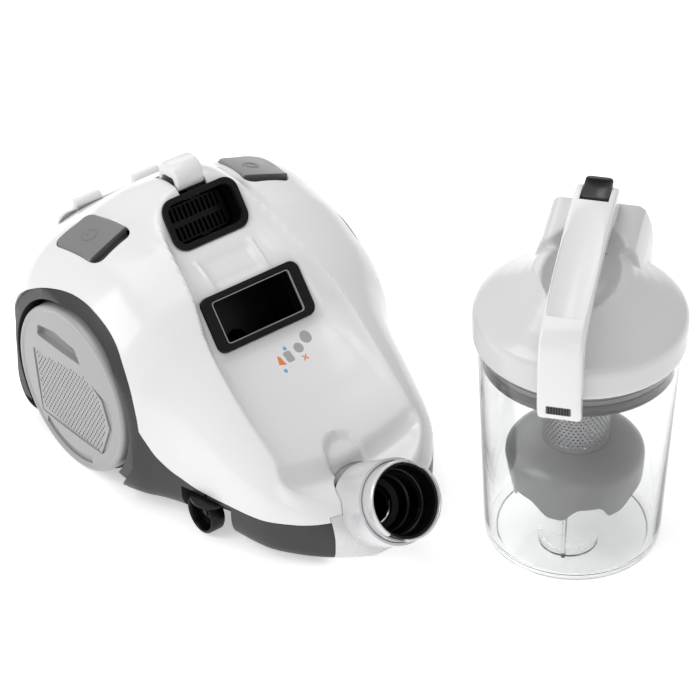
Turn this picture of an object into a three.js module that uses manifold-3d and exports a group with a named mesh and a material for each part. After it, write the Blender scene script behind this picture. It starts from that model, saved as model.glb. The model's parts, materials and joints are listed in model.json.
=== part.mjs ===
// A canister vacuum cleaner with its bagless dust container lifted out and standing beside it.
// Millimetres, +Z up. The nose points to -Y. Machine coordinates are measured from a datum under the
// middle of the wheel axle, FLOOR below the floor; the last group moves the origin to the floor,
// under the middle of everything.
import * as THREE from 'three';
import { mergeVertices } from 'three/addons/utils/BufferGeometryUtils.js';
import Module from 'manifold-3d';

const wasm = await Module();
wasm.setup();
const { PI, sin, cos, abs, min, max, sqrt } = Math;
const V2 = (x, y) => new THREE.Vector2(x, y);

// ---------------------------------------------------------------- driving dimensions
const GAP = 0.35;                                  // running gap between neighbouring pieces
const WALL = 3;                                    // shell wall
const FLOOR = 9;                                   // the floor's height above the datum
const BODY = { rear: 118, front: -252, waist: 84 };
const WHEEL = { r: 75, disc: 73, z: 84, x0: 108, x1: 134, well: 88, arch: 78, wellX: 101, bore: 5.6 };
const CASTER = { x: 97, y: -142, r: 17, width: 15, trail: 6, pocket: 26, roof: 47 };
const INTAKE = { y: -76, z: 150.5, tilt: 49.5 * PI / 180, w: 97, h: 47, inW: 78, inH: 37 };
const MOTORIN = { y: -8, z: 205, tilt: 51.3 * PI / 180, w: 74, h: 44 };
const INLET = { y: -272, z: 75, tilt: 36 * PI / 180, r: 32.5, bore: 30.4, socket: 27, socketIn: 22 };
const BUTTON = { x: 80, y: 33, z: 190.5, w: 43, l: 55, pitch: -0.2, roll: 0.28, yaw: 0.15 };
const COVER = { w: 122, h: 100, y: 113.5, z: 113, thick: 3.2, pin: 2.4, pinZ: 64.5, lugX: 30 };
const FILTER = { w: 108, depth: 16, h: 78, y: 100, z: 115 };
const MOTOR = { x: -40, z: 76, r: 34, y0: 8, y1: 70, fan: 46 };
const REEL = { y: 40, z: 84, r: 48, hub: 22, x0: 30, x1: 68.5, shaft: 4 };
const CORD = { x: 62, z: 42, r: 8, flange: 11, bore: 4.5 };
const BIN = { x: 136.3, y: -315.3, turn: -50 * PI / 180, r0: 71, r1: 80, h: 189, wall: 2.6 };
const LID = { r: 84.5, z0: 191, skirt: 23, top: 258 };
const GRIP = { w: 34, seat: [23, 36], window: [19, 8], windowZ: 193 };
const CYCLONE = { core: 30, tube: 26.6, outlet: 24, vortex: 15, lobeAt: 36, ventAt: 41 };
const FOOTPRINT = { x: 48.37, y: -139.19 };

// ---------------------------------------------------------------- small tools
// A smooth curve through a few points [x, y], x rising, that never overshoots between them.
function curve(points) {
  const n = points.length;
  const d = points.slice(1).map((p, i) => (p[1] - points[i][1]) / (p[0] - points[i][0]));
  const m = points.map((p, i) => {
    if (i === 0 || i === n - 1) return d[i === 0 ? 0 : n - 2];
    return d[i - 1] * d[i] <= 0 ? 0 : 2 / (1 / d[i - 1] + 1 / d[i]);
  });
  return (x) => {
    if (x <= points[0][0]) return points[0][1];
    if (x >= points[n - 1][0]) return points[n - 1][1];
    const i = points.findIndex((p) => p[0] > x) - 1;
    const h = points[i + 1][0] - points[i][0];
    const t = (x - points[i][0]) / h;
    const a = (1 + 2 * t) * (1 - t) * (1 - t);
    const b = t * t * (3 - 2 * t);
    return a * points[i][1] + b * points[i + 1][1]
      + h * t * (1 - t) * ((1 - t) * m[i] - t * m[i + 1]);
  };
}

// The lower of two heights, with a fillet of size k where they meet.
const softMin = (a, b, k) => {
  const h = max(k - abs(a - b), 0) / k;
  return min(a, b) - h * h * k * 0.25;
};

function solid(geometry) {
  const g = geometry.index ? geometry.clone() : mergeVertices(geometry.clone());
  g.deleteAttribute('normal');
  g.deleteAttribute('uv');
  const m = mergeVertices(g, 1e-4);
  const tri = [];
  for (let i = 0; i < m.index.count; i += 3) {
    const [a, b, c] = [0, 1, 2].map((k) => m.index.getX(i + k));
    if (a !== b && b !== c && a !== c) tri.push(a, b, c);
  }
  const make = (order) => new wasm.Manifold(new wasm.Mesh({
    numProp: 3, vertProperties: Float32Array.from(m.attributes.position.array),
    triVerts: Uint32Array.from(order),
  }));
  const s = make(tri);
  if (s.volume() > 0) return s;
  for (let i = 0; i < tri.length; i += 3) [tri[i + 1], tri[i + 2]] = [tri[i + 2], tri[i + 1]];
  return make(tri);
}

const join = (...s) => s.reduce((a, b) => a.add(b));
const cut = (a, ...tools) => tools.reduce((s, t) => s.subtract(t), a);

function place(geometry, x, y, z, rx = 0, ry = 0, rz = 0) {
  const e = new THREE.Euler(rx, ry, rz, 'ZYX');
  const m = new THREE.Matrix4().makeRotationFromEuler(e).setPosition(x, y, z);
  return geometry.applyMatrix4(m);
}

const box = (w, l, h, x = 0, y = 0, z = 0) => solid(place(new THREE.BoxGeometry(w, l, h), x, y, z));
// Cylinders along each axis, named by their axis, given their radius, ends and seat.
const cylZ = (r, z0, z1, x = 0, y = 0, n = 32, r1 = r) => solid(place(
  new THREE.CylinderGeometry(r1, r, z1 - z0, n), x, y, (z0 + z1) / 2, PI / 2));
const cylX = (r, x0, x1, y, z, n = 40) => solid(place(
  new THREE.CylinderGeometry(r, r, x1 - x0, n), (x0 + x1) / 2, y, z, 0, 0, PI / 2));
const cylY = (r, y0, y1, x, z, n = 32) => solid(place(
  new THREE.CylinderGeometry(r, r, y1 - y0, n), x, (y0 + y1) / 2, z));
const lathe = (profile, n = 48) => {
  const closed = profile.map((p) => V2(p[0], p[1]));
  if (profile[0][0] > 0) closed.push(closed[0].clone());
  return place(new THREE.LatheGeometry(closed, n), 0, 0, 0, PI / 2);
};

// A rounded rectangle outline, for plates and frames.
function roundRect(w, h, r, x = 0, y = 0) {
  const s = new THREE.Shape();
  s.moveTo(x - w / 2 + r, y - h / 2);
  s.absarc(x + w / 2 - r, y - h / 2 + r, r, -PI / 2, 0);
  s.absarc(x + w / 2 - r, y + h / 2 - r, r, 0, PI / 2);
  s.absarc(x - w / 2 + r, y + h / 2 - r, r, PI / 2, PI);
  s.absarc(x - w / 2 + r, y - h / 2 + r, r, PI, PI * 1.5);
  return s;
}
const slab = (shape, z0, z1, steps = 3) => place(
  new THREE.ExtrudeGeometry(shape, { depth: z1 - z0, bevelEnabled: false, curveSegments: steps }),
  0, 0, z0);
const polygon = (points) => new THREE.Shape(points.map((p) => V2(p[0], p[1])));

const parts = new THREE.Group();
function finish(color, roughness = 0.4, metalness = 0) {
  return new THREE.MeshStandardMaterial({ color, roughness, metalness });
}
const WHITE = finish(0xe9eaea, 0.25);
const DARK = finish(0x4a4a4c, 0.5);
const BLACK = finish(0x161617, 0.5);
const LIGHT = finish(0xb9bbbc, 0.35);
const BUTTONGREY = finish(0x8d8f90, 0.4);
const SILVER = finish(0xc9cbcc, 0.25, 0.8);
const STEEL = finish(0xb0b2b5, 0.3, 1);
const CLEAR = finish(0xdfe6ea, 0.05);
const MESH = finish(0x9b9da0, 0.45, 0.6);
const FOAM = finish(0x3a3a3c, 0.95);
const CYCLONEGREY = finish(0xa3a5a8, 0.4);
const CLAMPGREY = finish(0x8b868d, 0.4);
const SEALGREY = finish(0x5c5c60, 0.6);
const BOARDGREEN = finish(0x2f6b3a, 0.6);

// Adds one named piece, from a Manifold or a plain geometry.
function add(name, shape, material, group = parts) {
  let g = shape;
  if (!shape.isBufferGeometry) {
    const m = shape.getMesh();
    g = new THREE.BufferGeometry();
    g.setAttribute('position', new THREE.BufferAttribute(Float32Array.from(m.vertProperties), 3));
    g.setIndex(new THREE.BufferAttribute(Uint32Array.from(m.triVerts), 1));
  }
  const mesh = new THREE.Mesh(g, material);
  mesh.name = name;
  group.add(mesh);
  return mesh;
}

// ---------------------------------------------------------------- body form
// Half width, crown height and keel height along the machine, nose first.
const halfWidth = curve([[-252, 18], [-246, 32], [-235, 50], [-218, 70], [-196, 87], [-160, 98],
  [-118, 109], [-97, 120], [-82, 131], [-60, 139], [0, 144], [50, 143], [80, 131], [100, 111], [118, 82]]);
const crown = curve([[-252, 20], [-246, 36], [-236, 56], [-222, 76], [-200, 96], [-160, 123],
  [-110, 158], [-60, 188], [-20, 203], [20, 205], [55, 198], [80, 186], [100, 172], [118, 160]]);
const keel = curve([[-252, 14], [-230, 12], [-190, 11], [-80, 11], [60, 11], [95, 22], [118, 52]]);
const waist = curve([[-252, 17], [-240, 30], [-215, 44], [-170, 58], [-100, 72], [0, 84], [118, 92]]);
const fullness = curve([[-252, 2.2], [-200, 2.8], [-120, 2.7], [-40, 2.8], [0, 2.95], [60, 3.3], [118, 3]]);
// The valley that the dust container lies in: the height of its floor and its half width.
const valleyFloor = curve([[-252, 58], [-218, 62], [-190, 76], [-147, 101], [-93, 134.5], [-59, 169],
  [-22, 190], [5, 222], [14, 236], [60, 300]]);
const valleyHalf = curve([[-252, 82], [-190, 80], [-110, 70], [-60, 58], [0, 50], [60, 50]]);
const valleyDish = curve([[-252, 16], [-190, 15], [-100, 3], [-92, 0], [60, 0]]);

// The hump behind the motor intake, which carries the container catch.
function hump(x, y) {
  const along = max(0, 1 - ((y - 14) / (y > 14 ? 92 : 60)) ** 2);
  const across = max(0, 1 - (x / 58) ** 2);
  return 22 * along * along * across * across * (3 - 2 * across);
}

function topHeight(x, y, t) {
  const w = halfWidth(y) - t;
  const n = fullness(y);
  const f = max(0, 1 - abs(x / w) ** n) ** (1 / n);
  const outer = waist(y) + (crown(y) - t - waist(y)) * f + hump(x, y) * f;
  const half = valleyHalf(y);
  const floor = valleyFloor(y) - 1.35 * t + valleyDish(y) * (x / 70) ** 2
    + 46 * (abs(x) / (half + t)) ** 12;
  return floor > outer + 40 ? outer : softMin(outer, floor, 9);
}

function bottomHeight(x, y, t) {
  const w = halfWidth(y) - t;
  const n = 5;
  return waist(y) - (waist(y) - keel(y) - t) * max(0, 1 - abs(x / w) ** n) ** (1 / n);
}

// A closed solid of the whole body form, t inside its surface.
function bodyForm(t, stations, across) {
  const rings = [];
  const [y0, y1] = [BODY.rear - t, BODY.front + 1.2 * t];
  for (let i = 0; i <= stations; i++) {
    const y = y0 + (y1 - y0) * (0.65 * (1 - cos(PI * i / stations)) / 2 + 0.35 * i / stations);
    const w = halfWidth(y) - t;
    const ring = [];
    for (let k = 0; k <= across; k++) {
      const x = w * sin(PI * (k / across - 0.5));
      ring.push([x, y, topHeight(x, y, t)]);
    }
    const under = across / 2;
    for (let k = 1; k < under; k++) {
      const x = -w * sin(PI * (k / under - 0.5));
      ring.push([x, y, bottomHeight(x, y, t)]);
    }
    rings.push(ring);
  }
  return loft(rings);
}

// Joins closed rings of points into a solid with flat ends.
function loft(rings) {
  const n = rings[0].length;
  const pos = rings.flat(2);
  const idx = [];
  for (let i = 0; i + 1 < rings.length; i++) {
    for (let k = 0; k < n; k++) {
      const [a, b] = [i * n + k, i * n + (k + 1) % n];
      idx.push(a, b, b + n, a, b + n, a + n);
    }
  }
  for (const [i, flip] of [[0, true], [rings.length - 1, false]]) {
    const centre = pos.length / 3;
    const mid = rings[i].reduce((s, p) => s.map((v, j) => v + p[j] / n), [0, 0, 0]);
    pos.push(...mid);
    for (let k = 0; k < n; k++) {
      const [a, b] = [i * n + k, i * n + (k + 1) % n];
      idx.push(...(flip ? [centre, b, a] : [centre, a, b]));
    }
  }
  const g = new THREE.BufferGeometry();
  g.setAttribute('position', new THREE.Float32BufferAttribute(pos, 3));
  g.setIndex(idx);
  return solid(g);
}

// A prism along X of an outline in the Y-Z plane.
function sidePrism(points, x0, x1) {
  const g = new THREE.ExtrudeGeometry(polygon(points), { depth: x1 - x0, bevelEnabled: false });
  const m = new THREE.Matrix4().set(0, 0, 1, x0, 1, 0, 0, 0, 0, 1, 0, 0, 0, 0, 0, 1);
  return solid(g.applyMatrix4(m));
}
// A tool placed in the frame of a sloping face: x across, y up the slope, z outward.
const onSlope = (g, s, x = 0) => solid(place(g, x, s.y, s.z, s.tilt));

// The seam between the white shell and the grey base, seen from the side.
const SEAM = [[-260, 50], [-206, 50], [-138, 50.5], [-115, 56], [-100, 68], [-88, 90], [-80, 110], [-70, 114],
  [-55, 94], [70, 94], [95, 84], [125, 80]];
const seamPrism = (up, gap) => {
  const line = SEAM.map(([y, z]) => [y, z + (up ? gap : -gap)]);
  const far = up ? 320 : -40;
  return sidePrism([...line, [130, far], [-265, far]], -160, 160);
};

// Tools that clear the wheels and the castors, on both sides at once.
const wells = (r, x) => join(cylX(r, x, 170, 0, WHEEL.z, 28), cylX(r, -170, -x, 0, WHEEL.z, 28));
const pockets = (r, z) => join(...[CASTER.x, -CASTER.x].map((x) => cylZ(r, -20, z, x, CASTER.y, 24)));

const FASCIA = { half: 45, y: -203, z0: -5, z1: 70 };
const fasciaZone = (g) => box(2 * (FASCIA.half + g), 100, FASCIA.z1 - FASCIA.z0 + 2 * g,
  0, FASCIA.y - 50 + g, (FASCIA.z0 + FASCIA.z1) / 2);
const inletTool = (r, z0, z1, n = 24) => {
  // z runs along the inlet axis, outward and up; the ring's front face is at 0.
  const g = place(new THREE.CylinderGeometry(r, r, z1 - z0, n), 0, 0, (z0 + z1) / 2, PI / 2);
  return solid(place(g, 0, INLET.y, INLET.z, PI / 2 - INLET.tilt));
};

const outer = cut(bodyForm(0, 22, 20), wells(WHEEL.well, WHEEL.wellX), pockets(CASTER.pocket, CASTER.roof));
const cavity = cut(bodyForm(WALL, 12, 12), wells(WHEEL.well + WALL, WHEEL.wellX - WALL),
  pockets(CASTER.pocket + WALL, CASTER.roof + WALL));
const skin = outer.subtract(cavity);

// The grey arch that lines each wheel well; below the seam it grows into the base.
function archRing(s) {
  const [x0, x1] = s > 0 ? [WHEEL.wellX + GAP, WHEEL.x1 - 4] : [4 - WHEEL.x1, -WHEEL.wellX - GAP];
  const barrel = (r) => cylX(r, x0, x1, 0, WHEEL.z, 28);
  const low = barrel(WHEEL.well + 1.5).intersect(seamPrism(false, GAP / 2));
  const lining = cut(join(barrel(WHEEL.well - 2 * GAP), low), cylX(WHEEL.arch, -170, 170, 0, WHEEL.z, 28));
  const above = box(340, 200, 200, 0, 0, 136);
  return lining.intersect(above).intersect(bodyForm(0.6, 22, 20));
}

// The frame of a foot button: x across, y back, z along its travel.
const buttonFrame = (s) => new THREE.Matrix4().compose(new THREE.Vector3(s * BUTTON.x, BUTTON.y, BUTTON.z),
  new THREE.Quaternion().setFromEuler(new THREE.Euler(BUTTON.pitch, s * BUTTON.roll, -s * BUTTON.yaw, 'ZYX')),
  new THREE.Vector3(1, 1, 1));
const buttonWell = (s, g, depth) => {
  const shape = slab(roundRect(BUTTON.w + 2 * g, BUTTON.l + 2 * g, 9), -depth, 40);
  return solid(shape.applyMatrix4(buttonFrame(s)));
};
const rearZone = (g) => box(COVER.w + 2 + 2 * g, 40, COVER.h + 4 + 2 * g, 0, 128 - g, COVER.z - 1);

function upperShell() {
  let s = cut(skin.intersect(seamPrism(true, GAP / 2)), fasciaZone(GAP), rearZone(GAP));
  s = cut(s, onSlope(slab(roundRect(INTAKE.w - 8, INTAKE.h - 8, 7), -20, 20), INTAKE));
  s = cut(s, onSlope(slab(roundRect(MOTORIN.w - 6, MOTORIN.h - 6, 10), -20, 20), MOTORIN));
  s = cut(s, onSlope(slab(roundRect(INTAKE.w + 1, INTAKE.h + 1, 8), 1.1, 30), INTAKE));
  s = cut(s, onSlope(slab(roundRect(MOTORIN.w + 1, MOTORIN.h + 1, 12), 0.4, 30), MOTORIN));
  s = cut(s, buttonWell(1, GAP, 30), buttonWell(-1, GAP, 30));
  s = join(cut(s, box(28, 37, 40, 0, 21.5, 230)), box(12, 3, 11.5, 0, 49.5, 208.7));
  s = cut(s, cylX(WHEEL.bore, -120, 120, 0, WHEEL.z, 20));
  return s;
}
const SCREWS = [[-70, -60], [70, -60], [-60, 52], [60, 52]];
function lowerBase() {
  let s = cut(skin.intersect(seamPrism(false, GAP / 2)), fasciaZone(GAP), rearZone(GAP));
  s = join(s, archRing(1), archRing(-1));
  s = cut(s, cylX(WHEEL.bore, -120, 120, 0, WHEEL.z, 20));
  for (const x of [CASTER.x, -CASTER.x]) s = cut(s, cylZ(5.4, 20, 60, x, CASTER.y, 16));
  for (const [x, y] of SCREWS) s = cut(s, cylZ(4, 5, 16, x, y, 8));
  return cut(s, cylY(CORD.r + 0.4, 60, 130, CORD.x, CORD.z, 20));
}
add('upper_shell', upperShell(), WHITE);
add('lower_base', lowerBase(), DARK);

// ---------------------------------------------------------------- front fascia and hose inlet
function frontFascia() {
  const plate = skin.intersect(fasciaZone(0));
  const forward = box(2 * FASCIA.half, 120, 160, 0, FASCIA.y - 60, 92);
  const neck = inletTool(INLET.r + 4, -64, -14).intersect(forward).subtract(cavity);
  return cut(join(plate, neck), inletTool(INLET.r + GAP, -90, 20));
}
add('front_fascia', frontFascia(), SILVER);

// The collar that the hose end locks into, with its two bayonet notches.
function inletCollar() {
  const notch = (a) => {
    const g = new THREE.BoxGeometry(15, 12, 18).translate(0, INLET.r, 0);
    g.applyMatrix4(new THREE.Matrix4().makeRotationZ(a));
    return solid(place(g, 0, INLET.y, INLET.z, PI / 2 - INLET.tilt));
  };
  return cut(inletTool(INLET.r, -50, 0), inletTool(INLET.bore, -60, 5), notch(-0.7), notch(-0.7 + PI));
}
add('hose_inlet_collar', inletCollar(), SILVER);
add('hose_socket', cut(inletTool(INLET.bore - GAP, -54, -3), inletTool(INLET.socket, -34, 5),
  inletTool(INLET.socketIn, -60, 5)), BLACK);

// The dirty air duct, from behind the hose socket to the gasket in the valley.
function dirtyAirDuct() {
  const bend = { y: INLET.y + 76 * cos(INLET.tilt), z: INLET.z - 76 * sin(INLET.tilt) };
  const ball = (r, y, z) => solid(place(new THREE.SphereGeometry(r, 10, 6), 0, y, z));
  const run = (r) => join(inletTool(r, -76, -54 - GAP, 12), ball(r, bend.y, bend.z),
    cylY(r, bend.y, -58, 0, bend.z, 12), ball(r, -58, bend.z), cylZ(r, bend.z, 118, 0, -58, 12));
  const chute = (w, l, z0, z1) => onSlope(
    new THREE.BoxGeometry(w, l, z1 - z0).translate(0, 0, (z0 + z1) / 2), INTAKE);
  const walls = join(run(15.8), chute(INTAKE.inW + 4, INTAKE.inH + 4, -52, -9));
  return cut(walls, run(13.8), chute(INTAKE.inW, INTAKE.inH, -50, 0), inletTool(13.8, -70, -50, 12));
}
add('dirty_air_duct', dirtyAirDuct(), BLACK);

// ---------------------------------------------------------------- intake gasket and motor intake
const slopeRing = (s, w, h, r, inW, inH, inR, z0, z1) => onSlope(slab(roundRect(w, h, r), z0, z1), s)
  .subtract(onSlope(slab(roundRect(inW, inH, inR), z0 - 1, z1 + 1), s));
function intakeGasket() {
  const lip = slopeRing(INTAKE, INTAKE.w, INTAKE.h, 8, INTAKE.inW, INTAKE.inH, 3, 1.5, 6);
  const plug = slopeRing(INTAKE, INTAKE.w - 9, INTAKE.h - 9, 6, INTAKE.inW, INTAKE.inH, 3, -8, 2.5);
  return join(lip, plug);
}
add('intake_gasket', intakeGasket(), BLACK);
add('intake_lip', slopeRing(INTAKE, INTAKE.inW - 0.7, INTAKE.inH - 0.7, 3, INTAKE.inW - 3.4,
  INTAKE.inH - 3.4, 2, -7, 4.5), LIGHT);

const IN_W = MOTORIN.w - 8;
const IN_H = MOTORIN.h - 8;
function motorIntakeBox() {
  const sleeve = slopeRing(MOTORIN, IN_W, IN_H, 9, IN_W - 5, IN_H - 5, 7, -46, 1);
  const rim = slopeRing(MOTORIN, MOTORIN.w, MOTORIN.h, 12, IN_W - 5, IN_H - 5, 7, 0.8, 3.4);
  return join(sleeve, rim);
}
add('motor_intake_box', motorIntakeBox(), BLACK);

// A flat grille: a plate with columns of upright slots in two rows.
function ribbedGrille(w, h, columns, z0, z1) {
  const pitch = (w - 6) / columns;
  const slots = [];
  for (let i = 0; i < columns; i++) {
    for (const y of [-h / 4 + 0.6, h / 4 - 0.6]) {
      const x = -w / 2 + 3 + pitch * (i + 0.5);
      const slot = new THREE.BoxGeometry(pitch - 1.6, h / 2 - 4, z1 - z0 + 4);
      slots.push(onSlope(slot.translate(x, y, (z0 + z1) / 2), MOTORIN));
    }
  }
  return cut(onSlope(slab(roundRect(w, h, 6), z0, z1), MOTORIN), ...slots);
}
add('motor_grille', ribbedGrille(IN_W - 6, IN_H - 6, 9, -20, -16), BLACK);
add('motor_filter', onSlope(slab(roundRect(IN_W - 7, IN_H - 7, 5), -42, -21), MOTORIN), FOAM);

// ---------------------------------------------------------------- container catch
function containerCatch() {
  const side = polygon([[3, 223], [4, 234], [9, 240], [18, 242], [28, 239], [30, 233], [30, 203],
    [26, 203], [26, 228], [11, 231], [8, 223]]);
  const width = 26;
  const g = new THREE.ExtrudeGeometry(side, { depth: width, bevelEnabled: false });
  const m = new THREE.Matrix4().set(0, 0, 1, -width / 2, 1, 0, 0, 5.5, 0, 1, 0, 1, 0, 0, 0, 1);
  return solid(g.applyMatrix4(m));
}
add('container_catch', containerCatch(), WHITE);

// A coil spring, drawn as the plain sleeve that its wire fills.
// Each is drawn at the length it has when its button or catch is pressed home.
const springSleeve = (r, z0, z1) => cut(cylZ(r, z0, z1, 0, 0, 10), cylZ(r - 1.6, z0 - 1, z1 + 1, 0, 0, 10));
const catchSpring = springSleeve(3, 0, 8).rotate([-90, 0, 0]).translate([0, 39.2, 208.5]);
add('catch_spring', catchSpring, STEEL);

// ---------------------------------------------------------------- foot buttons
function footButton(s) {
  const cap = new THREE.ExtrudeGeometry(roundRect(BUTTON.w - 5, BUTTON.l - 5, 7), {
    depth: 13, bevelThickness: 2.5, bevelSize: 2.5, bevelSegments: 2, curveSegments: 3 });
  const body = solid(cap.translate(0, 0, -9).applyMatrix4(buttonFrame(s)));
  const stem = solid(new THREE.BoxGeometry(12, 16, 12).translate(0, 0, -17).applyMatrix4(buttonFrame(s)));
  return body.add(stem);
}
const buttonSpring = (s) => springSleeve(5, -37, -28).transform(buttonFrame(s).elements);
for (const [s, what] of [[-1, 'power'], [1, 'rewind']]) {
  add(`${what}_button`, footButton(s), BUTTONGREY);
  add(`${what}_button_spring`, buttonSpring(s), STEEL);
}
// The deck under each button that carries its spring, hung from the shell.
function springDeck(s) {
  const plate = new THREE.BoxGeometry(30, 30, 2.5).translate(0, 0, -39).applyMatrix4(buttonFrame(s));
  return solid(plate);
}
add('power_switch', springDeck(-1).add(solid(new THREE.BoxGeometry(20, 26, 14).translate(0, 0, -47)
  .applyMatrix4(buttonFrame(-1)))), BLACK);
add('rewind_brake', springDeck(1).add(solid(new THREE.BoxGeometry(16, 8, 12).translate(0, 0, -46)
  .applyMatrix4(buttonFrame(1)))), LIGHT);

// ---------------------------------------------------------------- wheels
const mirrorX = (m, s) => (s > 0 ? m : m.mirror([1, 0, 0]));
function wheelTyre() {
  const { r, x0, x1 } = WHEEL;
  const p = [[60, x0], [r - 2, x0], [r, x0 + 3], [r, x1 - 15], [60, x1 - 15]];
  return solid(place(lathe(p, 28), 0, 0, WHEEL.z, 0, PI / 2));
}
const PANEL = [[-52, 13], [19, 27], [44, 14], [54, -9], [41, -43], [-43, -46]];
function wheelPanel(grow, x0, x1) {
  const points = PANEL.map(([y, z]) => {
    const l = sqrt(y * y + z * z);
    return [-(y + grow * y / l), WHEEL.z + z + grow * z / l];
  });
  return sidePrism(points, x0, x1);
}
function wheelDisc() {
  const { disc, x0, x1 } = WHEEL;
  const rim = x1 - 14.6;
  const p = [[WHEEL.bore, x0], [59.6, x0], [59.6, rim], [disc, rim], [disc, x1 - 4], [disc - 3, x1 - 2],
    [40, x1], [0, x1], [0, x1 - 6], [WHEEL.bore, x1 - 6]];
  const dish = solid(place(lathe(p, 28), 0, 0, WHEEL.z, 0, PI / 2));
  const finger = sidePrism([[46, 112], [-18, 120], [-9, 131], [45, 123]], x1 - 7, x1 + 5);
  const ring = cut(cylX(66, x1 - 4, x1 + 5, 0, WHEEL.z, 24), cylX(57, x1 - 6, x1 + 6, 0, WHEEL.z, 24));
  const crescent = ring.intersect(sidePrism([[44, 10], [-30, 10], [-24, 36], [38, 36]], x1 - 5, x1 + 5));
  return cut(dish, wheelPanel(GAP, x1 - 4, x1 + 4), finger, crescent);
}
// The axle: a shaft with a collar on each side of the well's wall.
function wheelAxle() {
  const { x0, x1, wellX, z } = WHEEL;
  const inside = wellX - WALL;
  return join(cylX(5, inside - 9, x1 - 7, 0, z, 16), cylX(9, inside - 10, inside - 0.5, 0, z, 16),
    cylX(8, wellX + 0.5, x0 - 1, 0, z, 16));
}
for (const [s, side] of [[-1, 'right'], [1, 'left']]) {
  add(`${side}_wheel_tyre`, mirrorX(wheelTyre(), s), BLACK);
  add(`${side}_wheel_disc`, mirrorX(wheelDisc(), s), LIGHT);
  add(`${side}_wheel_grille`, mirrorX(wheelPanel(0, WHEEL.x1 - 3.6, WHEEL.x1 - 0.8), s), LIGHT);
  add(`${side}_wheel_axle`, mirrorX(wheelAxle(), s), STEEL);
}

// ---------------------------------------------------------------- castors
function casterFork(s) {
  const { x, y, r, width, trail, roof } = CASTER;
  const plate = cylZ(16, roof - 3, roof - 0.6, x, y, 20);
  const stem = cylZ(5, roof - 3, roof + WALL, x, y, 16);
  const inner = x - width / 2 - 2.2;
  const hub = cylX(3, inner, x + width / 2 - 6, y + trail, r + FLOOR, 10);
  const tongue = box(3.4, 9, roof - r - FLOOR + 2, inner, y + trail, (roof + r + FLOOR) / 2 - 3);
  return mirrorX(join(plate, stem, tongue, hub), s);
}
function casterWheel(s) {
  const { x, y, r, width, trail } = CASTER;
  const h = width / 2;
  const p = [[3.4, -h], [r - 1.5, -h], [r, 2.5 - h], [r, h - 3], [r - 1.5, h - 1], [r - 3.5, h - 1],
    [r - 4, 5 - h], [3.4, 5 - h]];
  return mirrorX(solid(place(lathe(p, 18), x, y + trail, r + FLOOR, 0, PI / 2)), s);
}
for (const [s, side] of [[-1, 'right'], [1, 'left']]) {
  add(`${side}_caster_fork`, casterFork(s), BLACK);
  add(`${side}_caster_wheel`, casterWheel(s), BLACK);
}

// ---------------------------------------------------------------- rear cover and exhaust filter
function rearCover() {
  const { w, h, y, z, thick, pin, pinZ, lugX } = COVER;
  const panel = place(slab(roundRect(w, h, 10), 0, thick), 0, y + thick, z, PI / 2);
  const lug = (x) => box(26, 9, 12, x, y + 3, z + 51);
  const hinge = cylX(pin, -52, 52, y, pinZ, 12);
  return cut(join(solid(panel), lug(-lugX), lug(lugX), hinge), box(30, 20, 8, 0, y + 2.5, pinZ + 1.5));
}
add('rear_cover', rearCover(), WHITE);
function exhaustFilter() {
  const { w, depth, h, y, z } = FILTER;
  const frame = cut(box(w, depth, h, 0, y, z), box(w - 6, depth + 4, h - 6, 0, y, z));
  return join(frame, box(w - 5, depth - 6, h - 5, 0, y, z));
}
add('exhaust_filter', exhaustFilter(), FOAM);

// ---------------------------------------------------------------- motor, fan and cord reel
// A drum along the motor's own axis.
const onMotor = (r, y0, y1, n = 24) => cylY(r, y0, y1, MOTOR.x, MOTOR.z, n);
add('motor', join(onMotor(MOTOR.r, MOTOR.y0, MOTOR.y1), onMotor(12, MOTOR.y1, MOTOR.y1 + 12, 12)), STEEL);
add('fan_housing', cut(onMotor(MOTOR.fan, -24, 7.5, 28), onMotor(MOTOR.fan - 2.5, -21, 5, 28),
  onMotor(16, -26, -20, 16), onMotor(5, 4, 9, 12)), STEEL);
function impeller() {
  const backplate = onMotor(MOTOR.fan - 6, -4, -1.5);
  const hub = onMotor(8, -14, -1.5, 12);
  const vanes = [];
  for (let i = 0; i < 6; i++) {
    const g = new THREE.BoxGeometry(32, 10, 1.6).translate(22, 0, 0);
    vanes.push(solid(place(g, MOTOR.x, -8, MOTOR.z, 0, i * PI / 3)));
  }
  return join(backplate, hub, ...vanes);
}
add('impeller', impeller(), LIGHT);
function motorMount() {
  const ring = cut(onMotor(MOTOR.r + 7, 30, 46), onMotor(MOTOR.r + GAP, 28, 48));
  return join(ring, box(40, 16, 22, MOTOR.x, 38, 25.5).subtract(onMotor(MOTOR.r + 2, 28, 48)));
}
add('motor_mount', motorMount(), BLACK);

function cordReel() {
  const { y, z, r, hub, x0, x1, shaft } = REEL;
  const flange = (x) => cylX(r, x, x + 2.5, y, z, 28);
  const drum = join(flange(x0), flange(x1 - 2.5), cylX(hub, x0, x1, y, z, 20));
  return drum.subtract(cylX(shaft + 0.4, 20, 80, y, z, 12));
}
add('cord_reel', cordReel(), LIGHT);
const onReel = (r, x0, x1, n) => cylX(r, x0, x1, REEL.y, REEL.z, n);
add('reel_spring_case', join(onReel(30, 71, 80, 24), onReel(REEL.shaft, 24, 80, 12)), BLACK);
add('reel_bracket', cut(box(3, 40, 76, 25.5, REEL.y, 56), onReel(REEL.shaft + 0.4, 20, 30, 12)), STEEL);
function cordOutlet() {
  const { x, z, r, flange, bore } = CORD;
  const bush = join(cylY(r, 104, 121.5, x, z, 20), cylY(flange, 119, 121.5, x, z, 20));
  return cut(bush, cylY(bore, 100, 125, x, z, 16)).subtract(lowerBase());
}
add('cord_outlet', cordOutlet(), BLACK);
add('control_board', box(2, 50, 36, 9, 40, 110), BOARDGREEN);

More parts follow.
